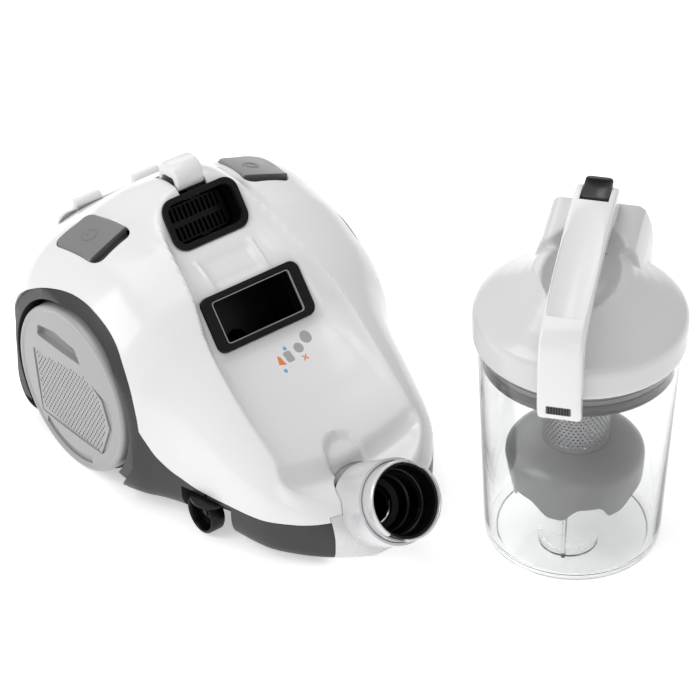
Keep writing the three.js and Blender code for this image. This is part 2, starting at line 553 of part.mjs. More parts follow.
// ---------------------------------------------------------------- dust container
// Its own frame: axis up through the origin, handle towards -Y; the group turns and moves it.
const container = new THREE.Group();
container.position.set(BIN.x, BIN.y, FLOOR);
container.rotation.z = BIN.turn;
parts.add(container);
const put = (name, shape, material) => add(name, shape, material, container);

function bin() {
  const { r0, r1, h, wall } = BIN;
  const p = [[0, 2], [r0 - 10, 2], [r0 - 8, 0], [r0 - 4, 0], [r0, 5], [r1, h], [r1 - wall, h],
    [r0 - wall, 8], [r0 - 6, 5], [0, 5]];
  const rib = box(3.2, 8, 36, 0, -42, 22);
  const foot = cut(cylZ(24, 3, 11, 0, -20, 24), cylZ(21, 5, 15, 0, -20, 24), box(60, 40, 30, 0, 0, 12));
  return join(solid(lathe(p, 32)), rib, foot);
}
put('dust_bin', bin(), CLEAR);

// The white lid: a skirt, a dome with a finger bowl, and the flat rear face with its two outlets.
function binLid() {
  const { r, z0, skirt, top } = LID;
  const p = [[0, z0 + 6], [r - 8, z0 + 6], [r - 8, z0 - 1], [r, z0 - 1], [r + 0.4, z0 + skirt],
    [r - 2, z0 + skirt + 12], [r - 9, z0 + skirt + 22], [r - 22, z0 + skirt + 32], [38, top - 2], [0, top]];
  let s = solid(lathe(p, 32));
  const block = new THREE.ExtrudeGeometry(polygon([[-40, z0 + 12], [40, z0 + 12], [43, 226], [38, 246],
    [20, 262], [-20, 262], [-38, 246], [-43, 226]]), { depth: 64, bevelEnabled: false });
  s = join(s, solid(place(block, 0, 88, 0, PI / 2)));
  const bowl = new THREE.SphereGeometry(1, 18, 10).scale(37, 66, 33).translate(0, -10, 274);
  s = cut(s, solid(bowl));
  const underside = [[0, z0 - 5], [r - 11.5, z0 - 5], [r - 11.5, z0 + 24], [r - 22, 232], [r - 34, 237],
    [0, 229]];
  const rearCut = new THREE.BoxGeometry(120, 60, 140);
  s = cut(s, solid(lathe(underside, 22)), solid(place(rearCut, 0, 116, 246, 0.2)));
  const outlet = (w, h, z) => solid(place(slab(roundRect(w, h, 6), -60, 30), 0, 88, z, PI / 2));
  return cut(s, outlet(56, 24, 238), outlet(62, 14, 213));
}
put('bin_lid', binLid(), WHITE);

const ringOf = (r, inner, z0, z1, n = 36) => solid(lathe([[inner, z0], [r, z0], [r, z1], [inner, z1]], n));
put('lid_clamp_ring', ringOf(BIN.r1 - 4.6, BIN.r1 - 9, 178.4, 189.6), CLAMPGREY);
put('lid_seal', ringOf(BIN.r1 - 4.2, BIN.r1 - 9, 167, 178), SEALGREY);

// The handle: a rounded leg at the front and a long grip over the dome to the rear.
function handle() {
  const out = [[-96, 179], [-102, 187], [-106, 215], [-107, 243], [-103, 257], [-93, 266], [-60, 275],
    [-20, 282], [20, 286], [60, 287], [74, 281], [79, 268], [79, 258], [46, 258], [44, 268], [20, 270],
    [-20, 267], [-60, 260], [-80, 253], [-87, 243], [-88.5, 215], [-88.5, 179]];
  const g = new THREE.ExtrudeGeometry(polygon(out), { depth: GRIP.w, bevelEnabled: false });
  g.applyMatrix4(new THREE.Matrix4().set(0, 0, 1, -GRIP.w / 2, 1, 0, 0, 0, 0, 1, 0, 0, 0, 0, 0, 1));
  const groove = new THREE.CylinderGeometry(60, 60, 132, 40);
  const trough = solid(place(groove, 0, -24, 335, 0.11, 0, 0));
  const seat = box(...GRIP.seat, 30, 0, 64, 285);
  const window = box(GRIP.window[0], 6, GRIP.window[1], 0, -104, GRIP.windowZ);
  const foot = box(14, 12, 14, 0, -86, 204);
  return cut(join(solid(g), foot), trough, seat, window).subtract(binLid());
}
put('container_handle', handle(), WHITE);
put('handle_window', box(GRIP.window[0] - 0.8, 2.4, GRIP.window[1] - 0.8, 0, -102.4, GRIP.windowZ), BLACK);
const thumbPad = solid(slab(roundRect(22, 30, 4, 0, 63), 275, 288));
put('bin_release_button', thumbPad.subtract(cylY(14, 50, 74, 0, 298, 20)), DARK);
put('release_spring', springSleeve(3.4, 270.4, 274.6).translate([0, 62, 0]), STEEL);

// The cyclone: an outer skirt with three lobes round a mesh tube under the lid.
function cycloneSkirt() {
  const p = [[27, 96], [40, 93], [52, 87], [56, 80], [55, 66], [52, 62], [52, 66], [53, 79], [50, 84],
    [39, 90], [27, 93]];
  const { core, tube, outlet, lobeAt, ventAt } = CYCLONE;
  const lobe = (a) => {
    const q = [[0, 44], [10, 44], [15, 50], [17, 66], [0, 66]];
    return solid(place(lathe(q, 10), lobeAt * sin(a), -lobeAt * cos(a), 0));
  };
  const vent = (a) => cylZ(7, 60, 70, ventAt * sin(a), -ventAt * cos(a), 8);
  const body = join(solid(lathe(p, 22)), ringOf(core, tube + 0.4, 64, 94, 20), cylZ(53.4, 63, 66, 0, 0, 22));
  return cut(join(body, lobe(-1.2), lobe(0.9), lobe(3)), cylZ(outlet, 46, 100, 0, 0, 20),
    vent(-0.15), vent(1.95), vent(-2.25));
}
put('cyclone_skirt', cycloneSkirt(), CYCLONEGREY);
put('mesh_filter', ringOf(CYCLONE.tube, CYCLONE.tube - 2, 67.4, 160, 24), MESH);
function filterCarrier() {
  const tube = ringOf(CYCLONE.core, CYCLONE.tube + 0.4, 156, 170.5, 24);
  const plate = cut(cylZ(BIN.r1 - 10, 170, 173, 0, 0, 32), cylZ(22, 150, 180, 0, 0, 20));
  return cut(join(tube, plate), box(34, 14, 20, 0, 52, 172));
}
put('cyclone_plate', filterCarrier(), LIGHT);
put('vortex_tube', ringOf(CYCLONE.vortex, CYCLONE.vortex - 2, 90, 195, 16), LIGHT);

// ---------------------------------------------------------------- fasteners
SCREWS.forEach(([x, y], i) => {
  add(`base_screw_${i + 1}`, join(cylZ(3.6, 11.6, 13.6, x, y, 8), cylZ(1.8, 13, 26, x, y, 8)), STEEL);
});

const vacuum = new THREE.Group();
parts.position.set(-FOOTPRINT.x, -FOOTPRINT.y, -FLOOR);
vacuum.add(parts);

export default vacuum;
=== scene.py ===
# %% [markdown]
# This lesson dresses a canister vacuum cleaner and its lifted-out dust container. The engineering model
# arrives as a fixed frame: every named part already sits at its real place and size. Blender's job is
# the surface: smooth moulded shells, clear plastic, rubber, perforated panels. Nothing moves here.

# %% Load the frame
import json
import math
import bpy
import bmesh
import numpy as np
from mathutils import Matrix, Vector

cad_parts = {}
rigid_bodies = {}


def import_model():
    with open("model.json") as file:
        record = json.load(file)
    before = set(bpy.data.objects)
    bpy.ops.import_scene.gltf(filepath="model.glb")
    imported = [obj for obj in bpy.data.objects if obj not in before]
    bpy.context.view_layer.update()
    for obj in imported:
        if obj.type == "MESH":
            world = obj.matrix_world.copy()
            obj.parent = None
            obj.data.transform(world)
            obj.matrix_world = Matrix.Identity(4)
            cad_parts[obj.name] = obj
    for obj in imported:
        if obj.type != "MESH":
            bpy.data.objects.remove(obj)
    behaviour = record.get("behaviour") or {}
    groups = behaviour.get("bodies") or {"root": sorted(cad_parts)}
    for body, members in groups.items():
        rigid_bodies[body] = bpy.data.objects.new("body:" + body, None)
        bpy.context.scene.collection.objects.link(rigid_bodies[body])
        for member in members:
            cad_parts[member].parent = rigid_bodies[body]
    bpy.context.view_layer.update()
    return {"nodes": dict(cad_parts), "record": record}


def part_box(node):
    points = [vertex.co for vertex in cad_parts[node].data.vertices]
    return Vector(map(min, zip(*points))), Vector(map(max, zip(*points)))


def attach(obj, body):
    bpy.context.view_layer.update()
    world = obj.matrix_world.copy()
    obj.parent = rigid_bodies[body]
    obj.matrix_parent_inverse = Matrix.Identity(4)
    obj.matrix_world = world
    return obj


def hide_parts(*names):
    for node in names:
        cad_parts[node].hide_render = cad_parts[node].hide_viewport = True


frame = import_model()
nodes = frame["nodes"]
joints = {j["name"]: j for j in frame["record"]["behaviour"]["joints"]}

# %% [markdown]
# Working in millimetres from one datum keeps the numbers readable. For the cleaner the datum is the
# middle of the axle line, 84 mm under it. For the container it is its own axis, with the handle
# towards -Y and the base at zero. The first comes from the frame's axle joint and casing; the second is
# given in the first, and the bin's own box only shows how far its axis lies off.

# %% Two working datums
AXLE_Z = 84
axle = joints["right_wheel_spin"]["pos_m"]
shell_low, shell_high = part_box("upper_shell")
middle = (shell_low[0] + shell_high[0]) / 2
MACHINE = Matrix.Translation((middle, axle[1], axle[2] - AXLE_Z / 1000)) @ Matrix.Scale(0.001, 4)
bin_low, bin_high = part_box("dust_bin")
BIN_SEAT = (136.3, -315.3, 9)
CONTAINER = MACHINE @ Matrix.Translation(BIN_SEAT) @ Matrix.Rotation(math.radians(-50), 4, "Z")
bin_miss = (CONTAINER @ Vector((0, 0, 0))).x - (bin_low[0] + bin_high[0]) / 2
print("machine datum", tuple(round(v, 4) for v in MACHINE.translation), "bin axis off by", round(bin_miss, 5))

# %% [markdown]
# The camera is a long lens, so edges stay nearly parallel. It stands in front of the nose, to the
# right of the machine, and looks down. The stage is a pale floor that fades into a white world, with
# one wide soft lamp above and to the left, and weaker ones that keep the shaded flanks readable.

# %% Camera, stage and lamps
LENS, SENSOR = 205.71, 36
CAMERA_AT = (-1551.26, -2178.38, 2039.02)
CAMERA_DOWN, CAMERA_ROUND = math.radians(53.52), math.radians(-38.09)
camera_data = bpy.data.cameras.new("camera")
camera_data.lens, camera_data.sensor_width = LENS, SENSOR
camera_data.clip_end = 50
camera = bpy.data.objects.new("camera", camera_data)
camera.location = MACHINE @ Vector(CAMERA_AT)
camera.rotation_euler = (CAMERA_DOWN, 0, CAMERA_ROUND)
bpy.context.collection.objects.link(camera)
bpy.context.scene.camera = camera

world = bpy.data.worlds.new("studio")
bpy.context.scene.world = world
world.use_nodes = True
world.node_tree.nodes["Background"].inputs["Color"].default_value = (1, 1, 1, 1)
world.node_tree.nodes["Background"].inputs["Strength"].default_value = 0.55


def lamp(name, place, size, watts, aim=(0, 0, 0.1)):
    data = bpy.data.lights.new(name, "AREA")
    data.shape, data.size, data.size_y, data.energy = "RECTANGLE", size[0], size[1], watts
    lit = bpy.data.objects.new(name, data)
    lit.location = place
    lit.rotation_euler = (Vector(aim) - Vector(place)).to_track_quat("-Z", "Y").to_euler()
    bpy.context.collection.objects.link(lit)


lamp("key_lamp", (-1.6, 0.5, 1.7), (1.0, 1.4), 16)
lamp("top_lamp", (0.1, 0.5, 2.4), (1.6, 1.6), 14)
lamp("front_lamp", (-1.3, -1.7, 0.8), (0.5, 1.1), 3)
lamp("rear_lamp", (0.9, 1.5, 1.3), (0.9, 1.0), 4)
bpy.context.scene.view_settings.view_transform = "Standard"

# %% [markdown]
# Small modelling tools. Each takes millimetres in one of the two datums and gives a mesh object.
# Outlines are pulled into prisms, profiles are turned on an axis, and booleans cut and join them,
# which is how moulded parts with straight-pulled openings are really shaped.

# %% Modelling tools
scratch = bpy.data.collections.new("scratch")
bpy.context.scene.collection.children.link(scratch)


def mesh_object(name, points, faces, where=Matrix()):
    mesh = bpy.data.meshes.new(name)
    mesh.from_pydata([tuple(where @ Vector(p)) for p in points], [], faces)
    bm = bmesh.new()
    bm.from_mesh(mesh)
    bmesh.ops.remove_doubles(bm, verts=bm.verts, dist=1e-4)
    bmesh.ops.dissolve_degenerate(bm, dist=1e-5, edges=bm.edges)
    bmesh.ops.recalc_face_normals(bm, faces=bm.faces)
    if bm.calc_volume(signed=True) < 0:
        bmesh.ops.reverse_faces(bm, faces=bm.faces)
    bm.to_mesh(mesh)
    bm.free()
    made = bpy.data.objects.new(name, mesh)
    scratch.objects.link(made)
    return made


def settle(made):
    """Applies an object's modifiers to its mesh."""
    bpy.context.view_layer.update()
    seen = made.evaluated_get(bpy.context.evaluated_depsgraph_get())
    mesh = bpy.data.meshes.new_from_object(seen)
    made.modifiers.clear()
    made.data = mesh
    return made


def combine(target, tools, operation="DIFFERENCE"):
    for tool in tools:
        change = target.modifiers.new("change", "BOOLEAN")
        change.operation, change.object, change.solver = operation, tool, "MANIFOLD"
    settle(target)
    for tool in tools:
        bpy.data.objects.remove(tool)
    return target


def cut(target, *tools):
    return combine(target, tools)


def join(target, *tools):
    return combine(target, tools, "UNION")


def overlap(target, tool):
    return combine(target, [tool], "INTERSECT")


def loft(name, rings, where=Matrix()):
    n = len(rings[0])
    points = [p for ring in rings for p in ring]
    faces = [(i * n + k, i * n + (k + 1) % n, (i + 1) * n + (k + 1) % n, (i + 1) * n + k)
             for i in range(len(rings) - 1) for k in range(n)]
    faces += [tuple(range(n)), tuple(range(len(points) - 1, len(points) - 1 - n, -1))]
    return mesh_object(name, points, faces, where)


def prism(outline, z0, z1, where=Matrix()):
    return loft("prism", [[(x, y, z) for x, y in outline] for z in (z0, z1)], where)


def block(w, l, h, x=0, y=0, z=0, where=Matrix()):
    outline = [(x - w / 2, y - l / 2), (x + w / 2, y - l / 2), (x + w / 2, y + l / 2), (x - w / 2, y + l / 2)]
    return prism(outline, z - h / 2, z + h / 2, where)


def round_rect(w, h, r, steps=8, x=0, y=0):
    right, top = w / 2 - r, h / 2 - r
    corners = ((right, -top, -90), (right, top, 0), (-right, top, 90), (-right, -top, 180))
    turn = [(cx, cy, math.radians(a + 90 * k / steps)) for cx, cy, a in corners for k in range(steps + 1)]
    return [(x + cx + r * math.cos(a), y + cy + r * math.sin(a)) for cx, cy, a in turn]


def turned(profile, where=Matrix(), n=96):
    """Turns a closed profile of (radius, height) on the Z axis; radii of zero close on the axis."""
    points, faces = [], []
    for r, z in profile:
        points += [(r * math.cos(2 * math.pi * k / n), r * math.sin(2 * math.pi * k / n), z) for k in range(n)]
    m = len(profile)
    for i in range(m if profile[0][0] > 0 else m - 1):
        j = (i + 1) % m
        faces += [(i * n + k, i * n + (k + 1) % n, j * n + (k + 1) % n, j * n + k) for k in range(n)]
    return mesh_object("turned", points, faces, where)


def drum(r, z0, z1, where=Matrix(), n=96):
    circle = [(r * math.cos(2 * math.pi * k / n), r * math.sin(2 * math.pi * k / n)) for k in range(n)]
    return prism(circle, z0, z1, where)


def ring(r, inner, z0, z1, where=Matrix(), n=96):
    return turned([(inner, z0), (r, z0), (r, z1), (inner, z1)], where, n)


def soften(made, width, steps=3, angle=35):
    edge = made.modifiers.new("edge", "BEVEL")
    edge.width, edge.segments, edge.limit_method = width / 1000, steps, "ANGLE"
    edge.angle_limit, edge.use_clamp_overlap = math.radians(angle), True
    return settle(made)


def spin(axis, degrees):
    return Matrix.Rotation(math.radians(degrees), 4, axis)


def at(x, y, z):
    return Matrix.Translation((x, y, z))


def show(made, name, body, slot, material, *stands_for):
    """Names a finished piece, gives it its finish and its body, and hides the parts it stands for."""
    scratch.objects.unlink(made)
    bpy.context.collection.objects.link(made)
    made.name = name
    made.data.name = name
    made.data.materials.clear()
    made.data.materials.append(material)
    made.data.shade_smooth()
    made.data.set_sharp_from_angle(angle=math.radians(32))
    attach(made, body)
    if stands_for:
        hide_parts(*stands_for)
    print(f"{name}: {len(made.data.polygons)} faces")
    return made


print("tools ready")

# %% [markdown]
# Every finish is built from the same idea: a principled surface whose roughness and tiny bump vary a
# little, because moulded plastic is never perfectly even. A bevel node catches light on the edges, at
# the radius a mould leaves. The grain is set in object space, so it stays on the part in any view.

# %% Finishes
def finish(name, color, rough, grain=900, bump=0.02, edge=0.6, coat=0.0, metal=0.0, mottle=0.03, spread=0.05,
           gloss=0.5):
    material = bpy.data.materials.new(name)
    material.use_nodes = True
    tree = material.node_tree
    made, link = tree.nodes.new, tree.links.new
    surface = tree.nodes["Principled BSDF"]
    surface.inputs["Metallic"].default_value = metal
    surface.inputs["Coat Weight"].default_value = coat
    surface.inputs["Coat Roughness"].default_value = 0.08
    surface.inputs["Specular IOR Level"].default_value = gloss
    place = made("ShaderNodeTexCoord")
    cloud = made("ShaderNodeTexNoise")
    cloud.inputs["Scale"].default_value = 28
    cloud.inputs["Detail"].default_value = 4
    link(place.outputs["Object"], cloud.inputs["Vector"])
    tint = made("ShaderNodeValToRGB")
    tint.color_ramp.elements[0].color = (*[c * (1 - mottle) for c in color], 1)
    tint.color_ramp.elements[1].color = (*[min(1, c * (1 + mottle)) for c in color], 1)
    link(cloud.outputs["Fac"], tint.inputs["Fac"])
    link(tint.outputs["Color"], surface.inputs["Base Color"])
    wear = made("ShaderNodeMapRange")
    wear.inputs["To Min"].default_value = max(0.02, rough - spread)
    wear.inputs["To Max"].default_value = rough + spread
    link(cloud.outputs["Fac"], wear.inputs["Value"])
    link(wear.outputs["Result"], surface.inputs["Roughness"])
    pits = made("ShaderNodeTexNoise")
    pits.inputs["Scale"].default_value = grain
    pits.inputs["Detail"].default_value = 2
    link(place.outputs["Object"], pits.inputs["Vector"])
    raised = made("ShaderNodeBump")
    raised.inputs["Strength"].default_value = bump
    raised.inputs["Distance"].default_value = 0.0004
    link(pits.outputs["Fac"], raised.inputs["Height"])
    if edge:
        rounded = made("ShaderNodeBevel")
        rounded.samples = 4
        rounded.inputs["Radius"].default_value = edge / 1000
        link(rounded.outputs["Normal"], raised.inputs["Normal"])
    link(raised.outputs["Normal"], surface.inputs["Normal"])
    return material


def grey(level):
    return (level, level, level)


WHITE = finish("glossy_white", grey(0.77), 0.22, bump=0.01, edge=1.0, coat=0.25, mottle=0.008, spread=0.03)
# The lid is the same white plastic as the casing, made darker here: painted shade for the lid lying less in the
# lamps' light.
SHADED_LID_WHITE = finish("lid_white_painted_shade", grey(0.64), 0.24, bump=0.01, edge=1.0, coat=0.2, mottle=0.008, spread=0.03)
DARK = finish("satin_dark_grey", (0.036, 0.036, 0.037), 0.4, bump=0.08, edge=0.8, mottle=0.06, gloss=0.4)
BLACK = finish("satin_black", (0.0022, 0.0022, 0.0024), 0.34, bump=0.05, edge=0.7, mottle=0.1, gloss=0.25)
RUBBER = finish("black_rubber", (0.003, 0.003, 0.0032), 0.42, grain=1400, bump=0.08, edge=0.9, mottle=0.12,
                gloss=0.25)
TREAD = finish("tyre_rubber", (0.005, 0.005, 0.0053), 0.6, grain=1100, bump=0.2, edge=0.5, mottle=0.15,
               gloss=0.3)
LIGHT = finish("light_grey", (0.34, 0.34, 0.342), 0.3, bump=0.02, edge=0.6, coat=0.1, mottle=0.015)
KEYGREY = finish("button_grey", (0.2, 0.2, 0.2), 0.32, bump=0.02, edge=0.7, coat=0.1, mottle=0.02)
SILVER = finish("silver_lacquer", (0.66, 0.66, 0.67), 0.26, grain=2400, bump=0.02, edge=0.6, coat=0.35,
                metal=0.3, mottle=0.02)
STEEL = finish("plain_steel", (0.5, 0.5, 0.51), 0.35, grain=1600, bump=0.05, edge=0, metal=1, mottle=0.05)
MESH = finish("filter_metal", (0.3, 0.3, 0.31), 0.36, grain=1600, bump=0.03, edge=0, metal=0.5, mottle=0.03)
FOAM = finish("filter_foam", (0.03, 0.03, 0.032), 0.95, grain=600, bump=0.8, edge=0, mottle=0.4)
CYCLONE = finish("cyclone_grey", (0.2, 0.2, 0.202), 0.34, grain=300, bump=0.008, edge=0, coat=0.1, mottle=0.02)
SEAL = finish("seal_grey", (0.07, 0.07, 0.073), 0.45, bump=0.08, edge=0.5, mottle=0.05)
CLAMP = finish("clamp_grey", (0.17, 0.165, 0.175), 0.25, bump=0.02, edge=0.5, coat=0.3, mottle=0.02)
RELEASE = finish("release_grey", (0.035, 0.035, 0.037), 0.35, grain=1300, bump=0.05, edge=0.6, mottle=0.04)
BOARD = finish("circuit_board", (0.02, 0.13, 0.05), 0.5, bump=0.05, edge=0, mottle=0.2)
MARK = finish("printed_grey", (0.36, 0.36, 0.36), 0.4, bump=0.002, edge=0, mottle=0.02)
ORANGE = finish("printed_orange", (0.75, 0.22, 0.05), 0.4, bump=0.002, edge=0, mottle=0.02)
BLUE = finish("printed_blue", (0.12, 0.42, 0.6), 0.4, bump=0.002, edge=0, mottle=0.02)


def clear_plastic():
    """Clear moulded plastic: light passes through it, and its shadow stays pale."""
    material = finish("clear_plastic", (0.92, 0.925, 0.925), 0.035, grain=60, bump=0.006, edge=0, mottle=0.004,
                      spread=0.01)
    tree = material.node_tree
    surface = tree.nodes["Principled BSDF"]
    surface.inputs["Transmission Weight"].default_value = 1.0
    surface.inputs["IOR"].default_value = 1.42
    ray = tree.nodes.new("ShaderNodeLightPath")
    through = tree.nodes.new("ShaderNodeBsdfTransparent")
    through.inputs["Color"].default_value = (0.93, 0.935, 0.935, 1)
    mix = tree.nodes.new("ShaderNodeMixShader")
    tree.links.new(ray.outputs["Is Shadow Ray"], mix.inputs["Fac"])
    tree.links.new(surface.outputs["BSDF"], mix.inputs[1])
    tree.links.new(through.outputs["BSDF"], mix.inputs[2])
    tree.links.new(mix.outputs["Shader"], tree.nodes["Material Output"].inputs["Surface"])
    return material


CLEAR = clear_plastic()
FLOOR = finish("pale_floor", (0.95, 0.95, 0.95), 0.8, grain=300, bump=0.01, edge=0, mottle=0.004, gloss=0.1)
floor_surface = FLOOR.node_tree.nodes["Principled BSDF"]
floor_surface.inputs["Emission Color"].default_value = (1, 1, 1, 1)
floor_surface.inputs["Emission Strength"].default_value = 0.45
floor_mesh = bpy.data.meshes.new("studio_floor")
floor_mesh.from_pydata([(-6, -6, 0), (6, -6, 0), (6, 6, 0), (-6, 6, 0)], [], [(0, 1, 2, 3)])
floor_mesh.materials.append(FLOOR)
studio_floor = bpy.data.objects.new("studio_floor", floor_mesh)
bpy.context.collection.objects.link(studio_floor)
print("finishes:", len(bpy.data.materials))

# %% [markdown]
# The casing is one flowing form: half width, crown, keel and waist each change smoothly from nose to
# tail, and a valley for the container is sunk into its top. A height formula drawn on a fine grid gives
# cleaner highlights than sculpting, and it is the same formula the engineering model uses, with the
# small steps, alcove and ribs of the real moulding added.

# %% The casing's form
def curve(*points):
    """A smooth curve through points (x, y) that never overshoots between them."""
    xs, ys = (np.array(v, float) for v in zip(*points))
    h = np.diff(xs)
    d = np.diff(ys) / h
    inner = [0 if a * b <= 0 else 2 / (1 / a + 1 / b) for a, b in zip(d[:-1], d[1:])]
    m = np.array([d[0], *inner, d[-1]])

    def read(x):
        x = np.clip(x, xs[0], xs[-1])
        i = np.clip(np.searchsorted(xs, x, side="right") - 1, 0, len(h) - 1)
        t = (x - xs[i]) / h[i]
        a, b = (1 + 2 * t) * (1 - t) ** 2, t * t * (3 - 2 * t)
        return a * ys[i] + b * ys[i + 1] + h[i] * t * (1 - t) * ((1 - t) * m[i] - t * m[i + 1])
    return read


half_width = curve((-252, 18), (-246, 32), (-235, 50), (-218, 70), (-196, 87), (-160, 98), (-118, 109),
                   (-97, 120), (-82, 131), (-60, 139), (0, 144), (50, 143), (80, 131), (100, 111), (118, 82))
crown = curve((-252, 20), (-246, 36), (-236, 56), (-222, 76), (-200, 96), (-160, 123), (-110, 158), (-60, 188),
              (-20, 203), (20, 205), (55, 198), (80, 186), (100, 172), (118, 160))
keel = curve((-252, 14), (-230, 12), (-190, 11), (-80, 11), (60, 11), (95, 22), (118, 52))
waist = curve((-252, 17), (-240, 30), (-215, 44), (-170, 58), (-100, 72), (0, 84), (118, 92))
fullness = curve((-252, 2.2), (-200, 2.8), (-120, 2.7), (-40, 2.8), (0, 2.95), (60, 3.3), (118, 3))
valley_floor = curve((-252, 56), (-218, 60), (-203, 61), (-196, 67), (-191, 75.5), (-188, 78), (-147, 101),
                     (-95, 132), (-93, 134.5), (-59, 169), (-22, 190), (5, 222), (14, 236), (60, 300))
valley_half = curve((-252, 82), (-190, 80), (-110, 70), (-60, 58), (0, 50), (60, 50))
valley_dish = curve((-252, 16), (-190, 15), (-100, 3), (-92, 0), (60, 0))


def step(edge0, edge1, v):
    t = np.clip((v - edge0) / (edge1 - edge0), 0, 1)
    return t * t * (3 - 2 * t)


def hump(x, y):
    along = np.clip(1 - ((y - 14) / np.where(y > 14, 92, 60)) ** 2, 0, None)
    across = np.clip(1 - (x / 58) ** 2, 0, None)
    return 22 * along * along * across * across * (3 - 2 * across)


def valley_detail(x, y):
    """The alcove at the foot of the valley, the step under the gasket and the ribs between the intakes."""
    alcove = 5.5 * (1 - step(15, 18, np.hypot(x, y + 194))) * step(-209, -204, y)
    ledge = 2.2 * (1 - step(-97, -94.5, y)) * step(-120, -98, y) * (1 - step(50, 60, abs(x)))
    rib = 1.8 * step(-62, -59, y) * (1 - step(-34, -31, y)) * (1 - step(1.0, 2.4, abs(abs(x) - 27)))
    pad = 1.6 * step(-58, -55, y) * (1 - step(-36, -33, y)) * (1 - step(21, 23.5, abs(x)))
    return rib - alcove - ledge - pad


def top_height(x, y, t):
    w = half_width(y) - t
    n = fullness(y)
    f = np.clip(1 - np.abs(x / w) ** n, 0, None) ** (1 / n)
    outer = waist(y) + (crown(y) - t - waist(y)) * f + hump(x, y) * f
    side = 46 * (np.abs(x) / (valley_half(y) + t)) ** 12
    floor = valley_floor(y) - 1.35 * t + valley_dish(y) * (x / 70) ** 2 + side
    floor = floor + valley_detail(x, y) if t == 0 else floor - 5 * (1 - step(-190, -165, y))
    soft = np.clip(6 - np.abs(outer - floor), 0, None) / 6
    return np.where(floor > outer + 40, outer, np.minimum(outer, floor) - soft * soft * 1.5)


def bottom_height(x, y, t):
    w = half_width(y) - t
    return waist(y) - (waist(y) - keel(y) - t) * np.clip(1 - np.abs(x / w) ** 5, 0, None) ** 0.2


def body_form(t, stations, across):
    i = np.arange(stations + 1)
    y0, y1 = 118 - t, -252 + 1.2 * t
    ys = y0 + (y1 - y0) * (0.5 * (1 - np.cos(np.pi * i / stations)) / 2 + 0.5 * i / stations)
    rings = []
    for y in ys:
        w = float(half_width(y)) - t
        s = np.arange(across + 1) / across
        x = w * (0.55 * np.sin(np.pi * (s - 0.5)) + 0.45 * (2 * s - 1))
        top = list(zip(x, [y] * len(x), top_height(x, y, t)))
        s = np.arange(1, across // 2) / (across // 2)
        x = -w * np.sin(np.pi * (s - 0.5))
        rings.append(top + list(zip(x, [y] * len(x), bottom_height(x, y, t))))
    return loft("form", rings, MACHINE)


def across_x(y=0, z=0):
    """A frame whose Z axis runs along the machine's X, with Y kept and Z turned to -X of the frame."""
    return MACHINE @ at(0, y, z) @ spin("Y", 90)


def side_prism(points, x0, x1):
    """A prism along X of an outline given as (y, z)."""
    return loft("side", [[(x, y, z) for y, z in points] for x in (x0, x1)], MACHINE)


SEAM = [(-260, 50), (-206, 50), (-138, 50.5), (-115, 56), (-100, 68), (-88, 90), (-80, 110), (-70, 114),
        (-55, 94), (70, 94), (95, 84), (125, 80)]


def seam_prism(up, gap):
    line = curve(*SEAM)
    ys = np.linspace(-260, 125, 130)
    edge = [(y, float(line(y)) + (gap if up else -gap)) for y in ys]
    far = 320 if up else -40
    return side_prism(edge + [(130, far), (-265, far)], -160, 160)


WELL, WELL_X, ARCH = 88, 101, 78
CASTER = {"x": 97, "y": -142, "pocket": 26, "roof": 47, "r": 17, "trail": 6, "width": 15}


def both_sides(make):
    return [make(1), make(-1)]


def wells(r, x):
    return both_sides(lambda s: drum(r, min(s * x, s * 170), max(s * x, s * 170), across_x(0, AXLE_Z), 128))


def pockets(r, z):
    return both_sides(lambda s: drum(r, -20, z, MACHINE @ at(s * CASTER["x"], CASTER["y"], 0), 64))


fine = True
form = body_form(0, 190 if fine else 110, 150 if fine else 90)
inside = overlap(body_form(3, 60, 44), block(400, 350, 400, 0, -47, 150, MACHINE))
hollow = cut(inside, *wells(WELL + 3, WELL_X - 3), *pockets(CASTER["pocket"] + 3, CASTER["roof"] + 3))
skin = cut(form, *wells(WELL, WELL_X), *pockets(CASTER["pocket"], CASTER["roof"]), hollow)
print("skin:", len(skin.data.polygons), "faces")

# %% [markdown]
# The white casing and the grey base are cut from that one skin, along a seam that rises over each
# wheel, so the two fit exactly. The base also carries the dark arches that line the wheel wells. Each
# opening is pulled straight through, in the direction that its real mould slide would move.

# %% Upper shell and lower base
SEAM_GAP = 0.3
INTAKE = {"at": (0, -76, 150.5), "tilt": 49.5, "w": 97, "h": 47, "in_w": 78, "in_h": 37}
MOTOR_IN = {"at": (0, -8, 205), "tilt": 51.3, "w": 74, "h": 44}
INLET = {"at": (0, -272, 75), "tilt": 36, "r": 32.5, "bore": 30.4, "socket": 27, "inner": 22}
FASCIA = {"half": 45, "y": -203, "z0": -5, "z1": 54}
BUTTON = {"x": 80, "y": 33, "z": 190.5, "w": 43, "l": 55, "pitch": -0.2, "roll": 0.28, "yaw": 0.15}


def slope(face):
    return MACHINE @ at(*face["at"]) @ spin("X", face["tilt"])


def inlet_frame():
    return MACHINE @ at(*INLET["at"]) @ spin("X", 90 - INLET["tilt"])


def button_frame(s):
    yaw = Matrix.Rotation(-s * BUTTON["yaw"], 4, "Z")
    roll = Matrix.Rotation(s * BUTTON["roll"], 4, "Y")
    pitch = Matrix.Rotation(BUTTON["pitch"], 4, "X")
    return MACHINE @ at(s * BUTTON["x"], BUTTON["y"], BUTTON["z"]) @ yaw @ roll @ pitch


def button_outline(grow):
    """A rounded rectangle, grown by the gap that its well needs."""
    return round_rect(BUTTON["w"] + 2 * grow, BUTTON["l"] + 2 * grow, 9 + grow, 8)


def fascia_zone(gap):
    w, h = FASCIA["half"] + gap, FASCIA["z1"] - FASCIA["z0"] + 2 * gap
    return block(2 * w, 100, h, 0, FASCIA["y"] - 50 + gap, (FASCIA["z0"] + FASCIA["z1"]) / 2, MACHINE)


def rear_zone(gap):
    return block(124 + 2 * gap, 40, 104 + 2 * gap, 0, 128 - gap, 112, MACHINE)


